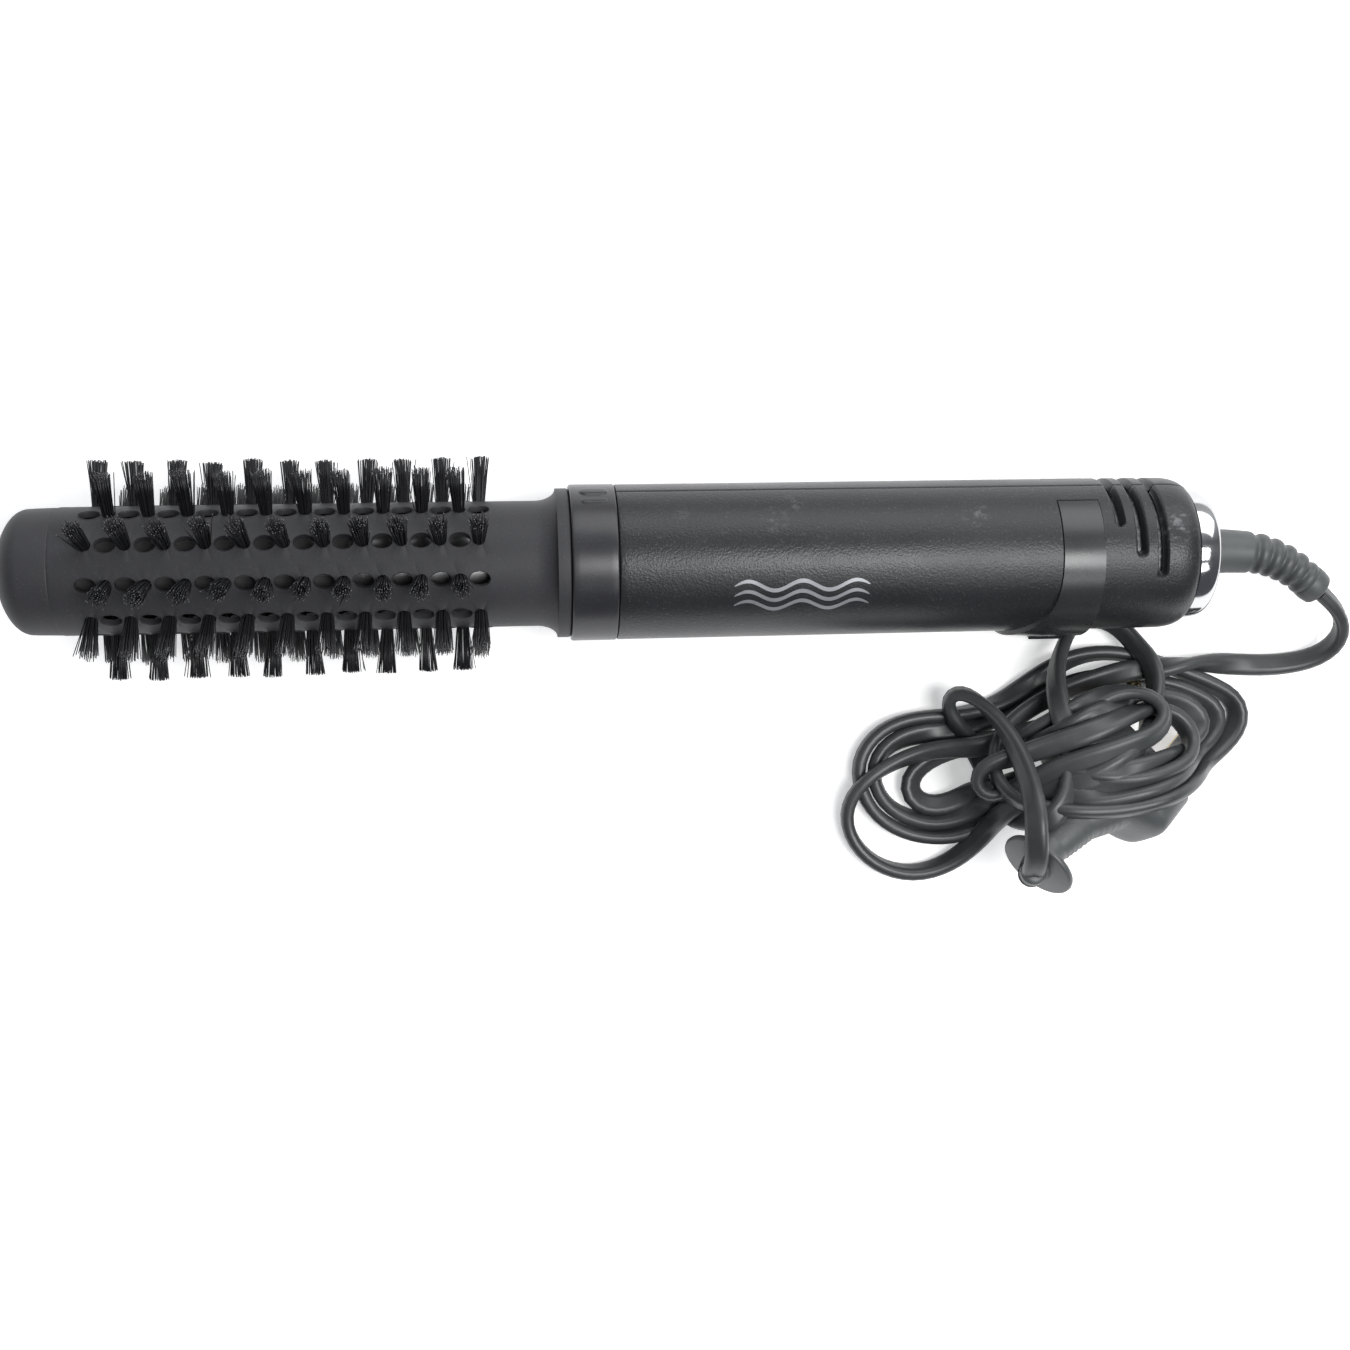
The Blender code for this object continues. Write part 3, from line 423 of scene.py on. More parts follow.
# The lead's route, turn by turn, before it settles.
CORD_ROUTE = [
    # Up from the surface, over the bundle and down round its waist.
    *CORD_START,
    (154.6, -28.9, 11), (146.5, -29.3, 17), (138.6, -29.7, 23.5), (131.7, -30.4, 29),
    (124.7, -31.9, 33), (118, -34, 35), (110.7, -37, 35.5), (104.3, -40.5, 34.5), (99, -44.5, 32),
    (95, -49, 28.5), (93.4, -54, 23), (95, -59, 17), (99.5, -62.3, 13),
    # First turn: over the plug, round on the right, along the handle's side, and round on the left.
    (106, -63, 6), (115.5, -63, 6), (128, -61.5, 6), (140, -58.5, 5), (150, -54.5, 4),
    (158.5, -49.5, 3), (163.5, -44, 2.2), (163, -38.5, 2.2), (158.5, -35, 2.2), (149.5, -30.5, 3),
    (139, -27, 4), (129, -25, 4), (120, -26, 4), (113.5, -29, 4), (107.5, -33, 4), (101.5, -37, 4),
    (95.5, -39.5, 3.5), (88, -41, 4), (79, -41, 5), (71, -42.5, 6), (65, -46.5, 6.5), (61.5, -53, 7),
    (62.5, -60, 6), (66, -66, 4), (72, -70, 2.5), (80, -72, 2.2), (88, -71.5, 2.5), (94.5, -68.5, 4),
    (100.5, -65.5, 6),
    # Second turn.
    (108, -59.5, 9), (119, -59.8, 9), (131, -58.2, 9), (142, -55.2, 8), (150.5, -51, 7),
    (156.5, -46, 7), (157.5, -41, 6), (153.5, -38, 6), (146, -34, 7), (136, -32, 8), (126, -31, 8.5),
    (117, -33, 8.5), (109, -37, 8.5), (101.5, -41, 8), (93.5, -43, 8), (86, -44.5, 8.5), (78, -45, 9.5),
    (71, -47, 10.5), (66.5, -51, 11), (65, -56.5, 11), (67, -62, 9.5), (71.5, -66, 7), (78, -68, 6),
    (85.5, -67.5, 7), (93, -64, 8), (99.5, -61, 10),
    # Third turn, inside the others.
    (108, -56.5, 12), (118.5, -57, 12), (130, -55.5, 12), (139.5, -52.5, 12), (147, -48.5, 11.5),
    (151.5, -44.5, 11), (150.5, -42, 10), (145, -38, 11), (137, -36.5, 12), (128, -37, 12.5),
    (119, -39, 12.5), (111, -42.5, 12.5), (103, -45, 12), (94.5, -46.5, 12), (86, -49, 12),
    (79, -52.5, 12), (74.5, -57, 12), (75.5, -62, 11), (80.5, -65, 10), (87, -63.5, 11),
    (93.5, -60, 13),
    # A shorter turn on the right, then the single loop on the left.
    (101.5, -57.5, 14), (111, -57, 14.5), (121, -58, 14.5), (131, -57.5, 14.5), (139.5, -54, 14.5),
    (143.5, -48, 14.5), (140.5, -42, 15), (133, -40, 15.5), (124, -41.5, 16), (115, -45, 16),
    (106, -48.5, 15.5), (98.5, -51, 15.5), (92, -53.5, 15), (89.8, -57.5, 15), (93, -60.8, 16.5),
    (99.5, -59.8, 19.5), (108, -56, 25), (117.5, -53, 28.5), (126.5, -50.5, 27), (133.5, -47, 23),
    (136.5, -42, 21), (133.5, -37.8, 20.5), (127, -36.5, 20.5), (120, -38, 20.5), (112.5, -41.5, 20.5),
    (105, -45, 20), (97, -48, 18), (89.5, -49, 15), (81.5, -49.5, 10.5), (73, -51.5, 5.5),
    (65.5, -55, 2.5), (60, -60, 2), (58, -66.5, 2), (60, -73, 2), (66, -79, 2), (75.5, -81.5, 2),
    (84.5, -79, 4), (91, -74, 9), (96, -68, 14.5), (100.5, -62.5, 18),
    # The standing loop, which leans on the handle.
    (106.5, -58, 19.5), (113.5, -57.5, 20), (120.5, -55, 20.5), (127.5, -49.5, 20), (133.5, -42.5, 18),
    (137.5, -35.5, 16.5), (138, -29.4, 19), (135, -23.7, 27), (130.4, -17.8, 33.5), (124.8, -15.4, 36),
    (119.2, -16.8, 35), (115.5, -22, 30), (112.5, -27.5, 28), (111.2, -33.5, 28), (111.2, -40, 29),
    (111.6, -46.5, 30), (112, -53, 30), (111.5, -58.5, 29), (108.5, -62.5, 22), (104, -65, 12),
    (99, -65.5, 5),
    # Under the waist, round it and over it again, to the plug.
    (96, -61, 2.9), (94.6, -55.5, 2.9), (92.6, -50.5, 2.9), (89.6, -46.2, 4), (86.4, -42.2, 8),
    (84.6, -38.2, 13.5), (85, -35.4, 19.5), (87.4, -34.6, 25), (90.8, -36.8, 29.5), (94.4, -41, 33),
    (97, -46.5, 35.5), (98.4, -52.1, 37), (98.8, -57.4, 38),
]
# The cord's last stretch rises over the plug's flange and turns down into the plug's own sleeve.
CORD_END = [
    (98.6, -62.3, 38.8),
    (98.4, -66.6, 39.4),
    (98.5, -70.8, 39.2),
    (98.9, -74.4, 37.6),
    (99.3, -77.2, 34.8),
    (99.6, -78.9, 31.6),
    (99.7, -79.4, 29.4),
]
STRAND_STEP = 2.6
STRAND_GAP = np.array([1.0, 1.0, 0.78])  # strands stand on edge, so they need more room above each other
STRAND_ROOM = 4.0
FLOOR_GAP = 2.9  # between the surface and the middle of a strand
OVER_TOP = (27.0, 33.0)  # a strand that lies this high over the bundle turns its broad side up
FLAT_RUN = (30, 105)  # the stretch from the boot to the bundle, along the lead, that lies broad side up


def plug_frame():
    """A matrix on the plug: its origin is the middle of the flange's face, and +X runs to the pins."""
    heading = Matrix.Rotation(math.radians(PLUG_HEADING), 4, "Z")
    dip = Matrix.Rotation(math.radians(PLUG_DIP), 4, "Y")
    return Matrix.Translation(Vector(PLUG_PLACE) * MM) @ heading @ dip


# (distance from the flange's face, half width, half height, squareness) of the plug.
PLUG_HALF_WIDTH, PLUG_HALF_HEIGHT, PLUG_LENGTH, PINS_END = 18.5, 12.6, 41.0, 61.0
PLUG_SECTIONS = [
    (0.0, 9.6, 9.6, 2),
    (1.8, 9.6, 9.6, 2),
    (2.6, 4.6, 4.6, 2),
    (7.0, 4.2, 4.2, 2),
    (17.0, 6.4, 6.0, 2.5),
    (25.0, 10.8, 9.0, 3),
    (30.0, PLUG_HALF_WIDTH, PLUG_HALF_HEIGHT, 4),
    (PLUG_LENGTH, PLUG_HALF_WIDTH, PLUG_HALF_HEIGHT, 4),
]


def plug_lift(line):
    """How high the plug's top is under each point, falling away beside it."""
    start, heading = np.array(PLUG_PLACE[:2]), math.radians(PLUG_HEADING)
    along = np.array([math.cos(heading), math.sin(heading)])
    flat = line[:, :2] - start
    run = flat @ along
    aside = np.abs(flat @ np.array([-along[1], along[0]]))
    past = np.maximum(np.maximum(14 - run, run - 42), 0)
    away = np.hypot(past, np.maximum(aside - 19, 0))
    share = np.clip(1 - away / 15, 0, 1)
    return 25 * share * share * (3 - 2 * share)


def push_off_plug(line, place, back):
    """Moves what is inside the plug out of it, up or down."""
    local = (line - place) @ back.T
    d, y, z = local.T
    table = np.array(PLUG_SECTIONS)
    room = 2.3
    width = np.interp(d, table[:, 0], table[:, 1]) + room
    height = np.interp(d, table[:, 0], table[:, 2]) + room
    pins = (d > PLUG_LENGTH) & (d < PINS_END)
    width = np.where(pins, 13.5, width)
    height = np.where(pins, 4.3, height)
    inside = (d > -1) & (d < PINS_END) & (np.abs(y) < width) & (np.abs(z) < height)
    edge = np.sqrt(np.clip(1 - (y / width) ** 4, 0, 1))
    deep = np.where(inside, np.maximum(height * edge - np.abs(z), 0), 0)
    line[:, 2] += 0.5 * deep * np.where(z > 0, 1, -1)


def push_off_handle(line, place, back):
    """Moves what is inside the handle, or the bezel on it, out from the axis."""
    local = (line - place) @ back.T
    x, y, z = local.T
    off = np.hypot(x, y)
    station = -z
    room, bezel_rise = 2.3, 1.7
    wide = HANDLE_R + room + bezel_rise * np.clip(1 - np.abs(station - 254) / 14, 0, 1)
    near = (station > HANDLE_START - 5) & (station < LENGTH)
    short = np.where(near, np.maximum(wide - off, 0), 0)
    out = np.stack([x / off, y / off, np.zeros_like(x)], axis=1)
    line += (0.5 * short)[:, None] * (out @ back)


def push_apart(line, skip):
    """Moves strands that touch each other apart."""
    scaled = line * STRAND_GAP
    gaps = scaled[:, None, :] - scaled[None, :, :]
    dist = np.sqrt((gaps**2).sum(axis=2)) + 1e-9
    order = np.arange(len(line))
    close = (dist < STRAND_ROOM) & (np.abs(order[:, None] - order[None, :]) > skip)
    share = np.where(close, (STRAND_ROOM - dist) / dist, 0)
    move = (gaps * share[:, :, None]).sum(axis=1) / np.maximum(close.sum(axis=1), 1)[:, None]
    line += 0.45 * move / STRAND_GAP


def settle(line, fixed_start, fixed_end, rounds=320):
    """The lead lies down: it sinks, keeps its length and its smooth bends, and stays off what it meets."""
    wanted = line.copy()
    plug, axis = plug_frame(), AXIS
    plug_place, plug_back = np.array(plug.translation) / MM, np.array(plug.to_3x3().transposed())
    axis_place, axis_back = np.array(axis.translation) / MM, np.array(axis.to_3x3().transposed())
    steps = np.linalg.norm(np.diff(line, axis=0), axis=1)
    for _ in range(rounds):
        line[:, 2] -= 0.12
        line[:, :2] += 0.04 * (wanted[:, :2] - line[:, :2])
        for reach in (1, 3):
            moved = line - wanted
            middle = (moved[2 * reach :] + moved[: -2 * reach]) / 2
            line[reach:-reach, :2] += 0.3 * (middle - moved[reach:-reach])[:, :2]
            level = (line[2 * reach :, 2] + line[: -2 * reach, 2]) / 2
            line[reach:-reach, 2] += 0.2 * (level - line[reach:-reach, 2])
        push_apart(line, 6)
        push_off_plug(line, plug_place, plug_back)
        push_off_handle(line, axis_place, axis_back)
        spans = np.diff(line, axis=0)
        long = np.linalg.norm(spans, axis=1)
        pull = spans * ((long - steps) / np.maximum(long, 1e-6) * 0.25)[:, None]
        line[:-1] += pull
        line[1:] -= pull
        line[:, 2] = np.maximum(line[:, 2], FLOOR_GAP)
        line[:fixed_start] = wanted[:fixed_start]
        line[-fixed_end:] = wanted[-fixed_end:]
    for _ in range(3):
        line[1:-1] = (line[:-2] + 2 * line[1:-1] + line[2:]) / 4
    return line


def unit(vectors):
    return vectors / np.maximum(np.linalg.norm(vectors, axis=1), 1e-9)[:, None]


def flat_sides(line):
    """The way that the flat lead's broad side faces: into each bend, and up on the long run over the top."""
    along = unit(np.gradient(line, axis=0))
    bend = np.gradient(np.gradient(line, 4, axis=0), 4, axis=0) * 400
    up = np.zeros_like(line)
    low, high = OVER_TOP
    up[:, 2] = 0.25 + 12 * np.clip((line[:, 2] - low) / (high - low), 0, 1)
    run = slice(*(round(place / STRAND_STEP) for place in FLAT_RUN))
    up[run, 2] = 3.0
    side = unit(bend + up)
    for i in range(1, len(side)):
        if side[i] @ side[i - 1] < 0:
            side[i] = -side[i]
    for _ in range(60):
        side[1:-1] = (side[:-2] + 2 * side[1:-1] + side[2:]) / 4
        side = unit(side - along * (side * along).sum(axis=1)[:, None])
    return along, side


def cord_section(count=20):
    """The twin lead's section, (across, through): a flat oval with a shallow groove between its wires."""
    half_width, half_depth = CORD_WIDTH / 2, CORD_THICKNESS / 2
    section = []
    for i in range(count):
        turn = 2 * math.pi * i / count
        c, s = math.cos(turn), math.sin(turn)
        across = half_width * math.copysign(abs(c) ** 0.8, c)
        through = half_depth * math.copysign(abs(s) ** 0.75, s)
        section.append((across, through * (1 - 0.16 * math.exp(-((across / 0.75) ** 2)))))
    return section


def make_cord():
    """The lead, from the boot through its bundle to the plug, and its centreline in metres."""
    route = CORD_ROUTE + CORD_END
    line = evenly(smooth_line(route, 1.0), STRAND_STEP)
    start = len(evenly(smooth_line(CORD_START, 1.0), STRAND_STEP))
    low = np.clip((30 - line[start:, 2]) / 15, 0, 1)
    line[start:, 2] += plug_lift(line[start:]) * low * np.clip((line[start:, 1] + 32) / -4, 0, 1)
    line = evenly(line, STRAND_STEP)
    end = len(evenly(smooth_line(CORD_END, 1.0), STRAND_STEP))
    line = settle(line, start, end)
    along, side = flat_sides(line)
    across = np.cross(along, side)
    section = cord_section()
    points = [p + a * u + s * v for p, a, s in zip(line, across, side) for u, v in section]
    faces = grid_faces(len(line), len(section), True)
    faces += end_faces(len(section), len(points))
    mesh = mesh_from("cord", [tuple(p) for p in points], faces, 60)
    cord = add_object("cord", mesh, "handle", FINISH["cord"])
    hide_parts("cord_tube", "cord_bundle")
    return cord, line * MM


# --- The floor and the light ---


def make_floor():
    floor_size = 3000.0
    points = [(-floor_size, -floor_size, 0), (floor_size, -floor_size, 0), (floor_size, floor_size, 0)]
    mesh = mesh_from("floor", [*points, (-floor_size, floor_size, 0)], [(0, 1, 2, 3)])
    floor = bpy.data.objects.new("floor", mesh)
    bpy.context.scene.collection.objects.link(floor)
    made, tree, shader = new_shader("floor_white", (0.93, 0.93, 0.93), 0.9, specular=0.1)
    mottle = noise_node(tree, 3, 2).outputs["Fac"]
    tree.links.new(ramp(tree, mottle, [(0.3, 0.92), (0.7, 0.945)]), shader.inputs["Base Color"])
    shader.inputs["Emission Color"].default_value = (1, 1, 1, 1)
    shader.inputs["Emission Strength"].default_value = 0.42
    mesh.materials.append(made)


def add_light(name, place, target, size, power):
    data = bpy.data.lights.new(name, "AREA")
    data.shape = "RECTANGLE"
    data.size, data.size_y = size
    data.energy = power
    light = bpy.data.objects.new(name, data)
    bpy.context.scene.collection.objects.link(light)
    light.location = place
    light.rotation_euler = (Vector(target) - Vector(place)).to_track_quat("-Z", "Y").to_euler()


def make_world():
    """A room round the studio: a pale wall behind the object, and a darker one before it."""
    world = bpy.data.worlds.new("studio")
    world.use_nodes = True
    tree = world.node_tree
    background = tree.nodes["Background"]
    background.inputs["Strength"].default_value = 1.0
    place = tree.nodes.new("ShaderNodeTexCoord")
    split = tree.nodes.new("ShaderNodeSeparateXYZ")
    tree.links.new(place.outputs["Generated"], split.inputs["Vector"])
    half = math_node(tree, "MULTIPLY_ADD", split.outputs["Y"], 0.5)
    half.node.inputs[2].default_value = 0.5
    stops = [(0.0, (0.10, 0.105, 0.12)), (0.38, (0.13, 0.135, 0.15)), (0.5, (0.22, 0.225, 0.235))]
    stops += [(0.6, (0.16, 0.165, 0.175)), (0.72, (0.42, 0.43, 0.45)), (0.88, (0.7, 0.72, 0.74))]
    stops += [(0.96, (0.5, 0.51, 0.52)), (1.0, (0.3, 0.3, 0.3))]
    tree.links.new(ramp(tree, half, stops), background.inputs["Color"])
    bpy.context.scene.world = world


def make_light():
    make_world()
    add_light("key_wide", (0.44, -0.14, 1.0), (0.44, -0.14, 0), (0.66, 0.34), 9.5)
    add_light("key_narrow", (0.52, -0.66, 0.95), (0.3, -0.2, 0), (0.62, 0.26), 2.0)
    add_light("fill", (0.45, 0.85, 0.65), (0.05, 0, 0.02), (1.3, 0.7), 7)
    bpy.context.scene.view_settings.view_transform = "Standard"


make_floor()
make_light()


# --- The plug ---


def superellipse(half_width, half_height, squareness, count):
    """Points round an outline between an ellipse, at squareness 2, and a rectangle."""
    ring = []
    for i in range(count):
        turn = 2 * math.pi * i / count
        c, s = math.cos(turn), math.sin(turn)
        y = half_width * math.copysign(abs(c) ** (2 / squareness), c)
        z = half_height * math.copysign(abs(s) ** (2 / squareness), s)
        ring.append((y, z))
    return ring


def plug_outline():
    """The plug's sections from the flange to the pins: rounded rims, and teeth along the grip's edges."""
    rounded = [(0.0, 8.9, 8.9, 2), (0.25, 9.4, 9.4, 2), (0.9, 9.6, 9.6, 2), (1.55, 9.4, 9.4, 2)]
    rounded += [(1.8, 8.8, 8.8, 2), (2.2, 5.6, 5.6, 2), (3.0, 4.7, 4.7, 2), (4.5, 4.3, 4.3, 2)]
    table = np.array(PLUG_SECTIONS)
    for i in range(60):
        d = 6.0 + i * 0.4
        values = [float(np.interp(d, table[:, 0], table[:, k])) for k in (1, 2, 3)]
        share = smoothstep(24.5, 30.0, d)
        values[0] = values[0] * (1 - share) + PLUG_HALF_WIDTH * share if d > 24.5 else values[0]
        rounded.append((d, *values))
    for d, less in ((31.0, 0), (40.0, 0), (40.7, 0.3)):
        rounded.append((d, PLUG_HALF_WIDTH - less, PLUG_HALF_HEIGHT - less, 4))
    return [*rounded, (PLUG_LENGTH, 17.5, 11.7, 4)]


def make_plug(place):
    count = 72
    points = []
    sections = plug_outline()
    for d, half_width, half_height, squareness in sections:
        toothed = smoothstep(6, 8, d) * (1 - smoothstep(24, 26, d))
        tooth = 0.45 * toothed * max(0.0, math.sin(2 * math.pi * d / 1.5)) ** 0.5 if toothed else 0
        for y, z in superellipse(half_width, half_height, squareness, count):
            side = abs(y) / half_width
            points.append((d, y * (1 + tooth * side**6 / half_width), z))
    faces = grid_faces(len(sections), count, True)
    faces += end_faces(count, len(points))
    mesh = mesh_from("plug", points, faces, 50)
    body = add_object("plug", mesh, "handle", FINISH["plug"], place)
    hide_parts("plug_body")
    pieces = [body]
    for name, side in (("plug_pin_live", -1), ("plug_pin_neutral", 1)):
        rings = [(41.2, 1.0), (41.2, 2.0), (58.3, 2.0), (59.3, 1.75), (59.9, 1.2), (60.1, 0.6), (60.15, 0.0)]
        spin = [2 * math.pi * i / 32 for i in range(32)]
        pin = [(d, side * 9.5 + r * math.cos(t), r * math.sin(t)) for d, r in rings for t in spin]
        mesh = mesh_from(name, pin, grid_faces(len(rings), 32, True))
        obj = add_object(f"{name}_turned", mesh, "handle", FINISH["brass"], place)
        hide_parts(name)
        pieces.append(obj)
    return pieces


def make_plug_sleeve(cord_end):
    """The soft sleeve between the plug's flange and the lead: it turns up from the one to the other."""
    place = plug_frame()
    flange = np.array(place.translation) / MM
    out = -np.array(place.to_3x3().col[0])
    route = [flange - out, flange + 1.2 * out, (flange + 2.4 * out + cord_end) / 2, cord_end]
    route.append(cord_end + (-0.05, 0.8, 2.4))
    step = 0.35
    line = evenly(smooth_line(route, 0.3), step)
    radii = []
    for i in range(len(line)):
        left = (len(line) - 1 - i) * step
        radii.append(3.15 + 0.9 * smoothstep(1.5, 6, left) - 1.0 * (1 - smoothstep(0, 0.9, left)) ** 2)
    return round_tube("plug_sleeve", line, radii, FINISH["plug"])


def round_tube(name, line, radii, finish, sides=40):
    """A closed tube along a line, with a radius at each of its points."""
    along = unit(np.gradient(line, axis=0))
    side = np.cross(along, (0.0, 0.0, 1.0))
    side[np.linalg.norm(side, axis=1) < 0.05] = (1.0, 0.0, 0.0)
    side = unit(side)
    for i in range(1, len(side)):
        if side[i] @ side[i - 1] < 0:
            side[i] = -side[i]
    up = np.cross(side, along)
    spin = [2 * math.pi * i / sides for i in range(sides)]
    points = []
    for p, r, u, v in zip(line, radii, side, up):
        points += [tuple(p + r * (math.cos(t) * u + math.sin(t) * v)) for t in spin]
    faces = grid_faces(len(line), sides, True)
    faces += end_faces(sides, len(points))
    return add_object(name, mesh_from(name, points, faces, 55), "handle", finish)


def make_strain_relief():
    """A tapered boot: plain at first, then ribs, and a thicker collar where the lead leaves it."""
    tip, out = AXIS.translation / MM, AXIS.to_3x3().col[2]
    start = tip - out * 287.6
    step, first_r, last_r = 0.3, 6.0, 4.3
    line = evenly(smooth_line([start, tip - out * 292, tip - out * 298, *RELIEF_ROUTE], step), step)
    walked = np.arange(len(line)) * step
    radii = []
    ribs_start, ribs_end, pitch = 20.0, walked[-1] - 4.2, 3.5
    for place in walked:
        share = place / walked[-1]
        radius = first_r + (last_r - first_r) * share**1.3
        if ribs_start < place < ribs_end:
            wave = 0.5 - 0.5 * math.cos(2 * math.pi * (place - ribs_start) / pitch)
            radius -= 0.8 * wave**1.8
        elif place >= ribs_end:
            radius += 0.15 * math.sin(math.pi * min(1, (place - ribs_end) / 3.2))
        rounding = min(1.0, (walked[-1] - place) / 0.8)
        radii.append(radius - 0.7 * (1 - rounding) ** 2)
    relief = round_tube("strain_relief_boot", line, radii, FINISH["relief"], 48)
    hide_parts("strain_relief")
    return relief


# --- The brush attachment ---


def make_tip_cap():
    outline = [(0.0, 0.0)]
    for i in range(1, 25):
        turn = math.radians(90 * i / 24)
        outline.append((15.0 * math.sin(turn), 7.5 * (1 - math.cos(turn))))
    outline += [(15.08, 9.5), (CAP_R - 0.02, 13.9), (CAP_R - 0.05, 14.2), (CAP_R - 0.12, CAP_END)]
    mesh = lathe("cap", [*outline, (13.6, CAP_END)], 128)
    cap = add_object("cap", mesh, "brush_attachment", FINISH["barrel"], AXIS)
    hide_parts("tip_cap")


def make_guide_band():
    """The bright metal sleeve on the rear of the air guide, which glints in the last holes."""
    low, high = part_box("air_guide_core")
    core_r = min((high[1] - low[1]) / 2 / MM, 8.3)
    inner, outer = core_r + 0.02, core_r + 0.3
    outline = [(inner, 82), *arc(outer, 82.3, 0.3, -90, 0, 4), *arc(outer, 116, 0.3, 0, 90, 4)]
    outline += [(inner, 116.3), (inner, 82)]
    band = lathe("guide_band", outline, 64)
    add_object("guide_band", band, "brush_attachment", FINISH["steel"], AXIS)


GRID = HOLE_PITCH / 16  # the barrel's surface is divided in sixteenths of the pitch
AROUND = 10  # and each row's share of the way round in tenths


def cell_edge(first, last):
    """Grid points round a cell, from one corner, as (steps along, tenths across from the middle)."""
    half = AROUND / 2
    edge = [(i, -half) for i in range(first, last)]
    edge += [(last, -half + i) for i in range(AROUND)]
    edge += [(i, half) for i in range(last, first, -1)]
    return edge + [(first, half - i) for i in range(AROUND)]


def holed_cell(angle, first, last, half_long, half_wide, rim):
    """One cell of the barrel with an oval hole in it: rings from the cell's edge in to the hole's wall."""
    edge = cell_edge(first, last)
    middle = (first + last) / 2
    across = 2 * math.pi * BARREL_R / ROWS / AROUND
    levels = [(0, 0), (1.07, 0), (1.04, rim), (1, rim * 0.8), (0.96, -0.12), (0.94, -0.5), (0.94, -1.5)]
    points = []
    for scale, lift in levels:
        for along, tenth in edge:
            turn = math.atan2(tenth * across / half_wide, (along - middle) * GRID / half_long)
            s, w = scale * half_long * math.cos(turn), scale * half_wide * math.sin(turn)
            if not scale:
                s, w = (along - middle) * GRID, tenth * across
            station = FIRST_HOLE + middle * GRID + s
            points.append(polar(BARREL_R + lift, angle + math.degrees(w / BARREL_R), station))
    return points, grid_faces(len(levels), len(edge), True)


def plain_cell(angle, first, last):
    """A stretch of a row without a hole."""
    points = []
    for i in range(first, last + 1):
        for j in range(AROUND + 1):
            turn = angle + (j / AROUND - 0.5) * 360 / ROWS
            points.append(polar(BARREL_R, turn, FIRST_HOLE + i * GRID))
    return points, grid_faces(last - first + 1, AROUND + 1, False)


def barrel_cells():
    """Each row's cells; every second row is moved on by half a pitch."""
    last_hole = (HOLES_IN_ROW - 1) * 16
    for row in range(ROWS):
        angle = FIRST_ROW_ANGLE - row * 360 / ROWS
        even = row % 2 == 0
        air = [16 * i + (0 if even else 8) for i in range(HOLES_IN_ROW - (0 if even else 1))]
        tufts = [16 * i + (8 if even else 0) for i in range(HOLES_IN_ROW - (1 if even else 0))]
        yield from (holed_cell(angle, at - 5, at + 5, 2.6, 1.9, 0.12) for at in air)
        yield from (holed_cell(angle, at - 3, at + 3, 1.45, 1.45, 0.06) for at in tufts)
        first = min(air[0] - 5, tufts[0] - 3)
        last = max(air[-1] + 5, tufts[-1] + 3)
        yield plain_cell(angle, -8, first)
        yield plain_cell(angle, last, last_hole + 8)


def lathe_band(outline):
    """A turned band whose steps meet the barrel's grid."""
    steps = ROWS * AROUND
    offset = FIRST_ROW_ANGLE - 180 / ROWS
    points = [polar(r, offset + 360 * j / steps, s) for r, s in outline for j in range(steps)]
    return points, grid_faces(len(outline), steps, True)


def make_barrel():
    front, back = FIRST_HOLE - 8 * GRID, FIRST_HOLE + ((HOLES_IN_ROW - 1) * 16 + 8) * GRID
    nose = [(13.6, CAP_END + 0.02), (BARREL_R - 0.12, CAP_END + 0.02), (BARREL_R - 0.03, CAP_END + 0.2)]
    nose += [(BARREL_R, CAP_END + 0.6), (BARREL_R, front)]
    flare = FLANGE_R - BARREL_R
    neck = [(BARREL_R, back), (BARREL_R, NECK_START - 3), (BARREL_R, NECK_START - 1)]
    for i in range(13):
        turn = math.radians(7.5 * i)
        neck.append((BARREL_R + flare * (1 - math.cos(turn)), NECK_START + 5.1 * math.sin(turn)))
    neck += [(FLANGE_R, NECK_START + 6.0), *arc(FLANGE_R - 0.5, NECK_END - 0.5, 0.5, 0, 90, 5)]
    neck += [(15.1, NECK_END), (15.1, 140.6), (BARREL_BORE_R, 140.6), (BARREL_BORE_R, 126)]
    points, faces = [], []
    for some_points, some_faces in [*barrel_cells(), lathe_band(nose), lathe_band(neck)]:
        faces += [tuple(len(points) + k for k in face) for face in some_faces]
        points += some_points
    mesh = mesh_from("barrel", points, faces, 50)
    barrel = add_object("barrel", mesh, "brush_attachment", FINISH["barrel"], AXIS)
    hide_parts("brush_barrel")


BRISTLES = 52  # in each tuft
BRISTLE_LEVELS, BRISTLE_SIDES = 3, 4
GOLDEN_ANGLE = 2.399963  # turns each bristle's place on from the last, in radians


def add_bristle(points, faces, foot, tip, bend, thickness):
    """A bristle from the foot to the tip, bent a little to one side."""
    foot, tip = Vector(foot), Vector(tip)
    along = (tip - foot).normalized()
    side = along.orthogonal().normalized()
    other = along.cross(side)
    first = len(points)
    levels, sides = BRISTLE_LEVELS, BRISTLE_SIDES
    for i in range(levels + 1):
        share = i / levels
        middle = foot.lerp(tip, share) + bend * (share - share * share) * 2
        radius = thickness * (1 - 0.25 * share)
        for k in range(sides):
            turn = math.tau * k / sides
            points.append(tuple(middle + radius * (math.cos(turn) * side + math.sin(turn) * other)))
    faces += [tuple(first + k for k in face) for face in grid_faces(levels + 1, sides, True)]
    faces.append(tuple(first + levels * sides + k for k in range(sides)))


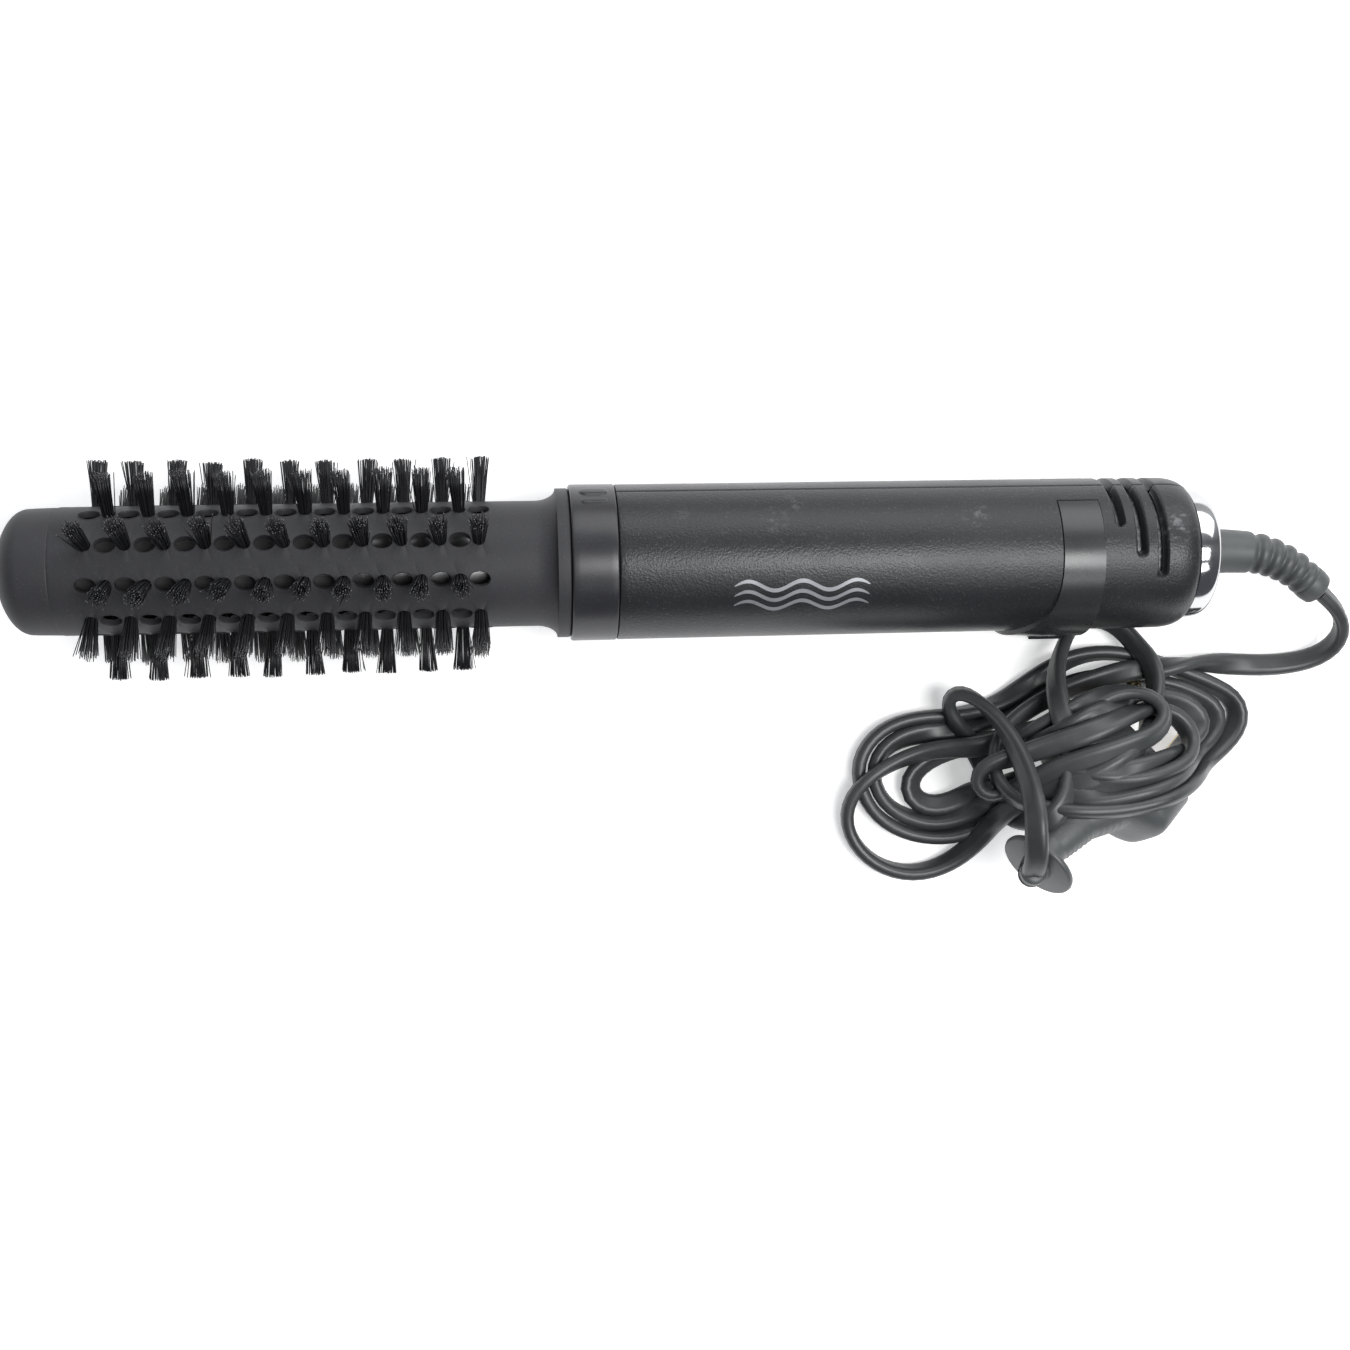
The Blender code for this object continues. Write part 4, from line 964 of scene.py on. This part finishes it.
def make_tuft(points, faces, chance, angle, station):
    """Bristles that fan out from one hole, uneven at their ends; a few strayed from the bunch."""
    lean_along, lean_round = chance.uniform(-0.7, 0.7), chance.uniform(-0.5, 0.5)
    reach = TUFT_END_R - 0.25 - chance.uniform(0, 0.9)
    for i in range(BRISTLES):
        share, turn = math.sqrt((i + 0.5) / BRISTLES), i * GOLDEN_ANGLE
        a, b = share * math.cos(turn), share * math.sin(turn)
        stray = 1.5 if chance.random() < 0.05 else 1.0
        end_r = reach - abs(chance.gauss(0, 0.35)) - 0.3 * share
        foot = (BARREL_R - 3.5, 1.1 * b, -station - 1.1 * a)
        spread = 2.5 * stray * chance.uniform(0.85, 1.05)
        out_r = math.sqrt(max(1.0, end_r**2 - (spread * b + lean_round) ** 2))
        tip = (out_r, spread * b + lean_round, -station - spread * a - lean_along)
        bend = Vector((0, chance.gauss(0, 0.2), chance.gauss(0, 0.2)))
        turned = Matrix.Rotation(math.radians(angle), 3, "Z")
        add_bristle(points, faces, turned @ Vector(foot), turned @ Vector(tip), turned @ bend, 0.165)


def make_bristles():
    """Ten rows of tufts; some of the bristles' cut ends are painted pale grey as a painted glint."""
    chance = random.Random(7)
    faces_each = BRISTLE_LEVELS * BRISTLE_SIDES + 1
    for row in range(ROWS):
        angle = FIRST_ROW_ANGLE - row * 360 / ROWS
        even = row % 2 == 0
        shift, count = (HOLE_PITCH / 2, HOLES_IN_ROW - 1) if even else (0, HOLES_IN_ROW)
        points, faces = [], []
        for i in range(count):
            make_tuft(points, faces, chance, angle, FIRST_HOLE + shift + i * HOLE_PITCH)
        mesh = bpy.data.meshes.new(f"bristles_{row + 1:02d}")
        mesh.from_pydata([tuple(c * MM for c in p) for p in points], [], faces)
        mesh.shade_smooth()
        tufts = add_object(mesh.name, mesh, "brush_attachment", FINISH["bristle"], AXIS)
        mesh.materials.append(FINISH["bristle_end_painted_glint"])
        # About four in ten bristle tips get the pale painted glint finish in place of a real glint.
        for face in mesh.polygons:
            if face.index % faces_each == faces_each - 1 and chance.random() < 0.4:
                face.material_index = 1
                face.use_smooth = False
        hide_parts(f"bristle_row_{row + 1:02d}")


# --- The lock ring ---


def make_lock_ring():
    edge = 0.45
    outline = [(16.9, RING_START), *arc(RING_R - edge, RING_START + edge, edge, -90, 0, 6)]
    outline += [(RING_R, RING_START + 2), (RING_R, RING_END - 2)]
    outline += [*arc(RING_R - edge, RING_END - edge, edge, 0, 90, 6), (16.9, RING_END), (16.9, RING_START)]
    ring = add_object("ring", lathe("ring", outline, 160), "lock_ring", FINISH["ring"], AXIS)
    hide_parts("lock_ring")
    make_mark("ring_bar_1", 59, (136.9, 144.0), 2.1, 0.55)
    make_mark("ring_bar_2", 46.5, (137.2, 143.8), 1.2, 0.4)


def make_mark(name, angle, reach, half, height):
    """A raised bar with round ends and a soft top, along the ring."""
    rows, columns = 36, 16
    points = []
    for i in range(rows + 1):
        station = reach[0] + (reach[1] - reach[0]) * i / rows
        to_end = min(station - reach[0], reach[1] - station)
        wide = half * rounded_edge(to_end, half)
        for j in range(columns + 1):
            across = (2 * j / columns - 1) * wide
            crown = max(0.0, 1 - (abs(across) / max(wide, 0.01)) ** 4) * (wide / half) ** 0.6
            rise = height * crown - 0.12
            points.append(polar(RING_R + rise, angle + math.degrees(across / RING_R), station))
    mesh = mesh_from(name, points, grid_faces(rows + 1, columns + 1, False), 60)
    add_object(name, mesh, "lock_ring", FINISH["ring"], AXIS)


# --- The handle ---


def turn_from(angle, middle):
    """The angle from the middle, between -180 and 180."""
    return (angle - middle + 180) % 360 - 180


def vent_depth(angle, station):
    """How deep the inlets' slots are cut at a place: their long sides are soft and their ends round."""
    depth = 0.0
    for middle, half_angle in zip(VENT_STATIONS, VENT_HALF_ANGLES):
        across = abs(turn_from(angle, SEAM_ANGLE)) * math.radians(1) * HANDLE_R
        past = max(0.0, across - (half_angle * math.radians(1) * HANDLE_R - VENT_WIDTH / 2))
        off = math.hypot(past, station - middle)
        depth = max(depth, VENT_DEPTH * (1 - smoothstep(0.5, VENT_WIDTH / 2 + 0.15, off)))
    return depth


def shell_profile():
    """(station, radius) down the handle, dense where the slots and the ends are."""
    rows = [(141.5, 16.4), (HANDLE_START, 16.4), (HANDLE_START, HANDLE_R - 0.45)]
    rows += [(s, r) for r, s in arc(HANDLE_R - 0.45, HANDLE_START + 0.45, 0.45, -80, 0, 5)]
    rows += [(148 + i * 3.5, HANDLE_R) for i in range(30)]
    rows += [(253.2, HANDLE_R), (253.4, HANDLE_R), (263.6, HANDLE_R), (263.8, HANDLE_R), (264.2, HANDLE_R)]
    rows += [(264.7 + i * 0.3, HANDLE_R) for i in range(59)]
    for i in range(15):
        turn = math.radians(90 * i / 14 * 0.82)
        rows.append((282.4 + 6.2 * math.sin(turn) / math.sin(math.radians(73.8)), 0))
    end = [(s, CHROME_R + 2.2 * math.sqrt(max(0.0, 1 - ((s - 282.4) / 6.25) ** 2.2))) for s, _ in rows[-15:]]
    return [*rows[:-15], *end, (HANDLE_END, 14.9)]


def make_shell(name, node, middle):
    """Half of the handle. It has a soft groove along its parting seam, and the bezel's seat is sunk in it."""
    columns = 170
    rows = shell_profile()
    points = []
    for station, radius in rows:
        for j in range(columns + 1):
            share = 2 * j / columns - 1
            angle = middle + 89.75 * math.copysign(abs(share) ** 0.96, share)
            from_seam = (90 - abs(turn_from(angle, middle))) * math.radians(1) * HANDLE_R
            r = radius - 0.22 * math.exp(-((from_seam / 0.22) ** 2))
            if 264.5 < station < 282.6:
                r -= vent_depth(angle, station)
            if 253.3 < station < 263.7 and abs(turn_from(angle, THUMB_ANGLE)) < BEZEL_HALF_ANGLE - 1:
                r = 18.0
            points.append(polar(r, angle, station))
    mesh = mesh_from(name, points, grid_faces(len(rows), columns + 1, False), 55)
    open_slots(mesh)
    shell = add_object(name, mesh, "handle", FINISH["handle"], AXIS)
    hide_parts(node)


def open_slots(mesh):
    """The slots go through: the faces on their floors are taken out."""
    bm = bmesh.new()
    bm.from_mesh(mesh)
    floors = []
    for face in bm.faces:
        middle = face.calc_center_median()
        radius, station = math.hypot(middle.x, middle.y) / MM, -middle.z / MM
        if 264.7 < station < 281 and radius < HANDLE_R - VENT_DEPTH + 0.04:
            floors.append(face)
    bmesh.ops.delete(bm, geom=floors, context="FACES")
    bm.to_mesh(mesh)
    bm.free()


def bezel_radius(turn):
    side = BEZEL_OFFSET * math.sin(math.radians(turn))
    return BEZEL_OFFSET * math.cos(math.radians(turn)) + math.sqrt(BEZEL_R**2 - side**2)


def make_bezel():
    """The band that carries the button. Its front edge runs forward in a tongue on the thumb's side."""
    columns, rows = 180, 26
    points = []
    for i in range(rows + 1):
        for j in range(columns + 1):
            turn = BEZEL_HALF_ANGLE * (2 * j / columns - 1)
            front = BEZEL_START - 10.5 * math.exp(-((abs(turn) / 58) ** 2.6))
            back = BEZEL_END + 0.35 * math.sin(math.radians(turn))
            share = i / rows
            station = front + (back - front) * share
            to_edge = min(station - front, back - station, (BEZEL_HALF_ANGLE - abs(turn)) * 0.33)
            ahead = max(0.0, BEZEL_START - station)
            top = max(bezel_radius(turn) - 0.055 * ahead, HANDLE_R + 0.04)
            edge = max(0.12, min(0.6, top - HANDLE_R))
            fall = 1 - rounded_edge(to_edge, edge)
            low = i in (0, rows) or j in (0, columns)
            radius = 17.9 if low else top - fall * (top - HANDLE_R + 0.1)
            points.append(polar(radius, THUMB_ANGLE + turn, station))
    mesh = mesh_from("bezel", points, grid_faces(rows + 1, columns + 1, False), 50)
    bezel = add_object("bezel", mesh, "handle", FINISH["bezel"], AXIS)
    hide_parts("switch_bezel")


def make_button():
    """The slider's button: a rounded pad with grip ribs across it."""
    start, end, half = 252.5, 261.5, 4.0
    low, high = BEZEL_R + BEZEL_OFFSET + 0.4, BEZEL_R + BEZEL_OFFSET + 2.3
    count = 36
    points = []
    for i in range(count + 1):
        x = i / count
        for j in range(count + 1):
            y = j / count
            edge = min(x * (end - start), (1 - x) * (end - start), y * 2 * half, (1 - y) * 2 * half)
            fall = 0.9 * (1 - rounded_edge(edge, 0.9))
            rib = 0.28 * max(0.0, math.cos(2 * math.pi * x * 5.5)) * smoothstep(0.6, 1.4, edge)
            radius = high - 0.3 - fall + rib
            if i in (0, count) or j in (0, count):
                radius = low
            across = (2 * y - 1) * half
            points.append((radius, across, -(start + x * (end - start))))
    mesh = mesh_from("button", points, grid_faces(count + 1, count + 1, False), 50)
    turn = Matrix.Rotation(math.radians(THUMB_ANGLE), 4, "Z")
    button = add_object("button", mesh, "switch", FINISH["bezel"], AXIS @ turn)
    stem = [(15.6, -1.7, -255), (low + 0.5, -1.7, -255), (low + 0.5, 1.7, -255), (15.6, 1.7, -255)]
    stem += [(x, y, -259) for x, y, _ in stem]
    sides = [(0, 1, 5, 4), (1, 2, 6, 5), (2, 3, 7, 6), (3, 0, 4, 7), (3, 2, 1, 0), (4, 5, 6, 7)]
    stem_mesh = mesh_from("button_stem", stem, sides)
    add_object("button_stem", stem_mesh, "switch", FINISH["dark"], AXIS @ turn)
    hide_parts("switch_slider")


def make_rear():
    """The chrome ring, rounded over to the rear, and the end cap inside it."""
    outline = [(14.8, 284.6), (14.8, 288.8), (CHROME_R - 0.25, 288.8), (CHROME_R, 289.0)]
    for i in range(1, 20):
        turn = math.radians(90 * i / 19)
        radius = REAR_R + (CHROME_R - REAR_R) * math.cos(turn) ** 0.55
        outline.append((radius, 289.0 + 5.7 * math.sin(turn) ** 0.75))
    outline += [(12.7, LENGTH), (12.4, LENGTH - 0.4), (12.4, 285)]
    band = lathe("chrome_band", outline, 160, 30)
    band = add_object("chrome_band", band, "handle", FINISH["chrome"], AXIS)
    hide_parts("chrome_ring")
    face = [(12.3, 288), (12.3, LENGTH - 1.1), (12.0, LENGTH - 0.9), (9.6, LENGTH - 0.9), (9.4, LENGTH - 1.3)]
    face += [(8.9, LENGTH - 1.3), (8.7, LENGTH - 0.9), (6.6, LENGTH - 0.9), (6.4, 288)]
    cap = lathe("rear_cap", face, 96)
    cap = add_object("rear_cap", cap, "handle", FINISH["handle"], AXIS)
    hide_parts("end_cap")


def make_emblem():
    """A plain mark in silver print: three waves of warm air."""
    middle, rows = -31.0, 72
    for k in range(3):
        points = []
        for i in range(rows + 1):
            share = i / rows
            station = 173 + 33 * share
            wave = 1.2 * math.sin(2 * math.pi * share * 2.5) + (k - 1) * 2.6
            half = 0.5 * math.sqrt(max(0.0, 1 - (2 * share - 1) ** 6)) + 0.02
            for side in (-half, half):
                angle = middle + math.degrees((wave + side) / HANDLE_R)
                points.append(polar(HANDLE_R + 0.03, angle, station))
        mesh = mesh_from(f"emblem_wave_{k + 1}", points, grid_faces(rows + 1, 2, False))
        add_object(mesh.name, mesh, "handle", FINISH["silver"], AXIS)


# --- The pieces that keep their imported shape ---

KEPT = {
    "dark": ["air_guide_core", "fan_housing", "impeller", "switch_lever", "switch_body", "cord_clamp"]
    + ["outlet_grille"],
    "steel": ["outlet_nozzle", "thermostat", "thermal_fuse", "motor_shaft", "motor"],
    "mica": ["heater_sleeve", "mica_frame"],
    "heater_wire": ["heating_coil"],
    "board": ["rectifier_board"],
    "filter": ["air_filter"],
    "lead_blue": ["lead_neutral"],
    "lead_brown": ["lead_live"],
}


def finish_kept_nodes():
    for finish, names in KEPT.items():
        for name in names:
            data = NODES[name].data
            data.materials.clear()
            data.materials.append(FINISH[finish])


def main():
    cord, line = make_cord()
    plug_pieces = make_plug(plug_frame())
    sleeve = make_plug_sleeve(line[-1] / MM)
    relief = make_strain_relief()
    long = float(np.linalg.norm(np.diff(line, axis=0), axis=1).sum())
    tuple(line[0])
    [tuple(p) for p in line]
    make_tip_cap()
    make_barrel()
    make_guide_band()
    make_bristles()
    make_lock_ring()
    make_shell("handle_near", "handle_shell_top", SEAM_ANGLE - 90)
    make_shell("handle_far", "handle_shell_bottom", SEAM_ANGLE + 90)
    make_bezel()
    make_button()
    make_rear()
    make_emblem()
    finish_kept_nodes()
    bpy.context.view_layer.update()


main()
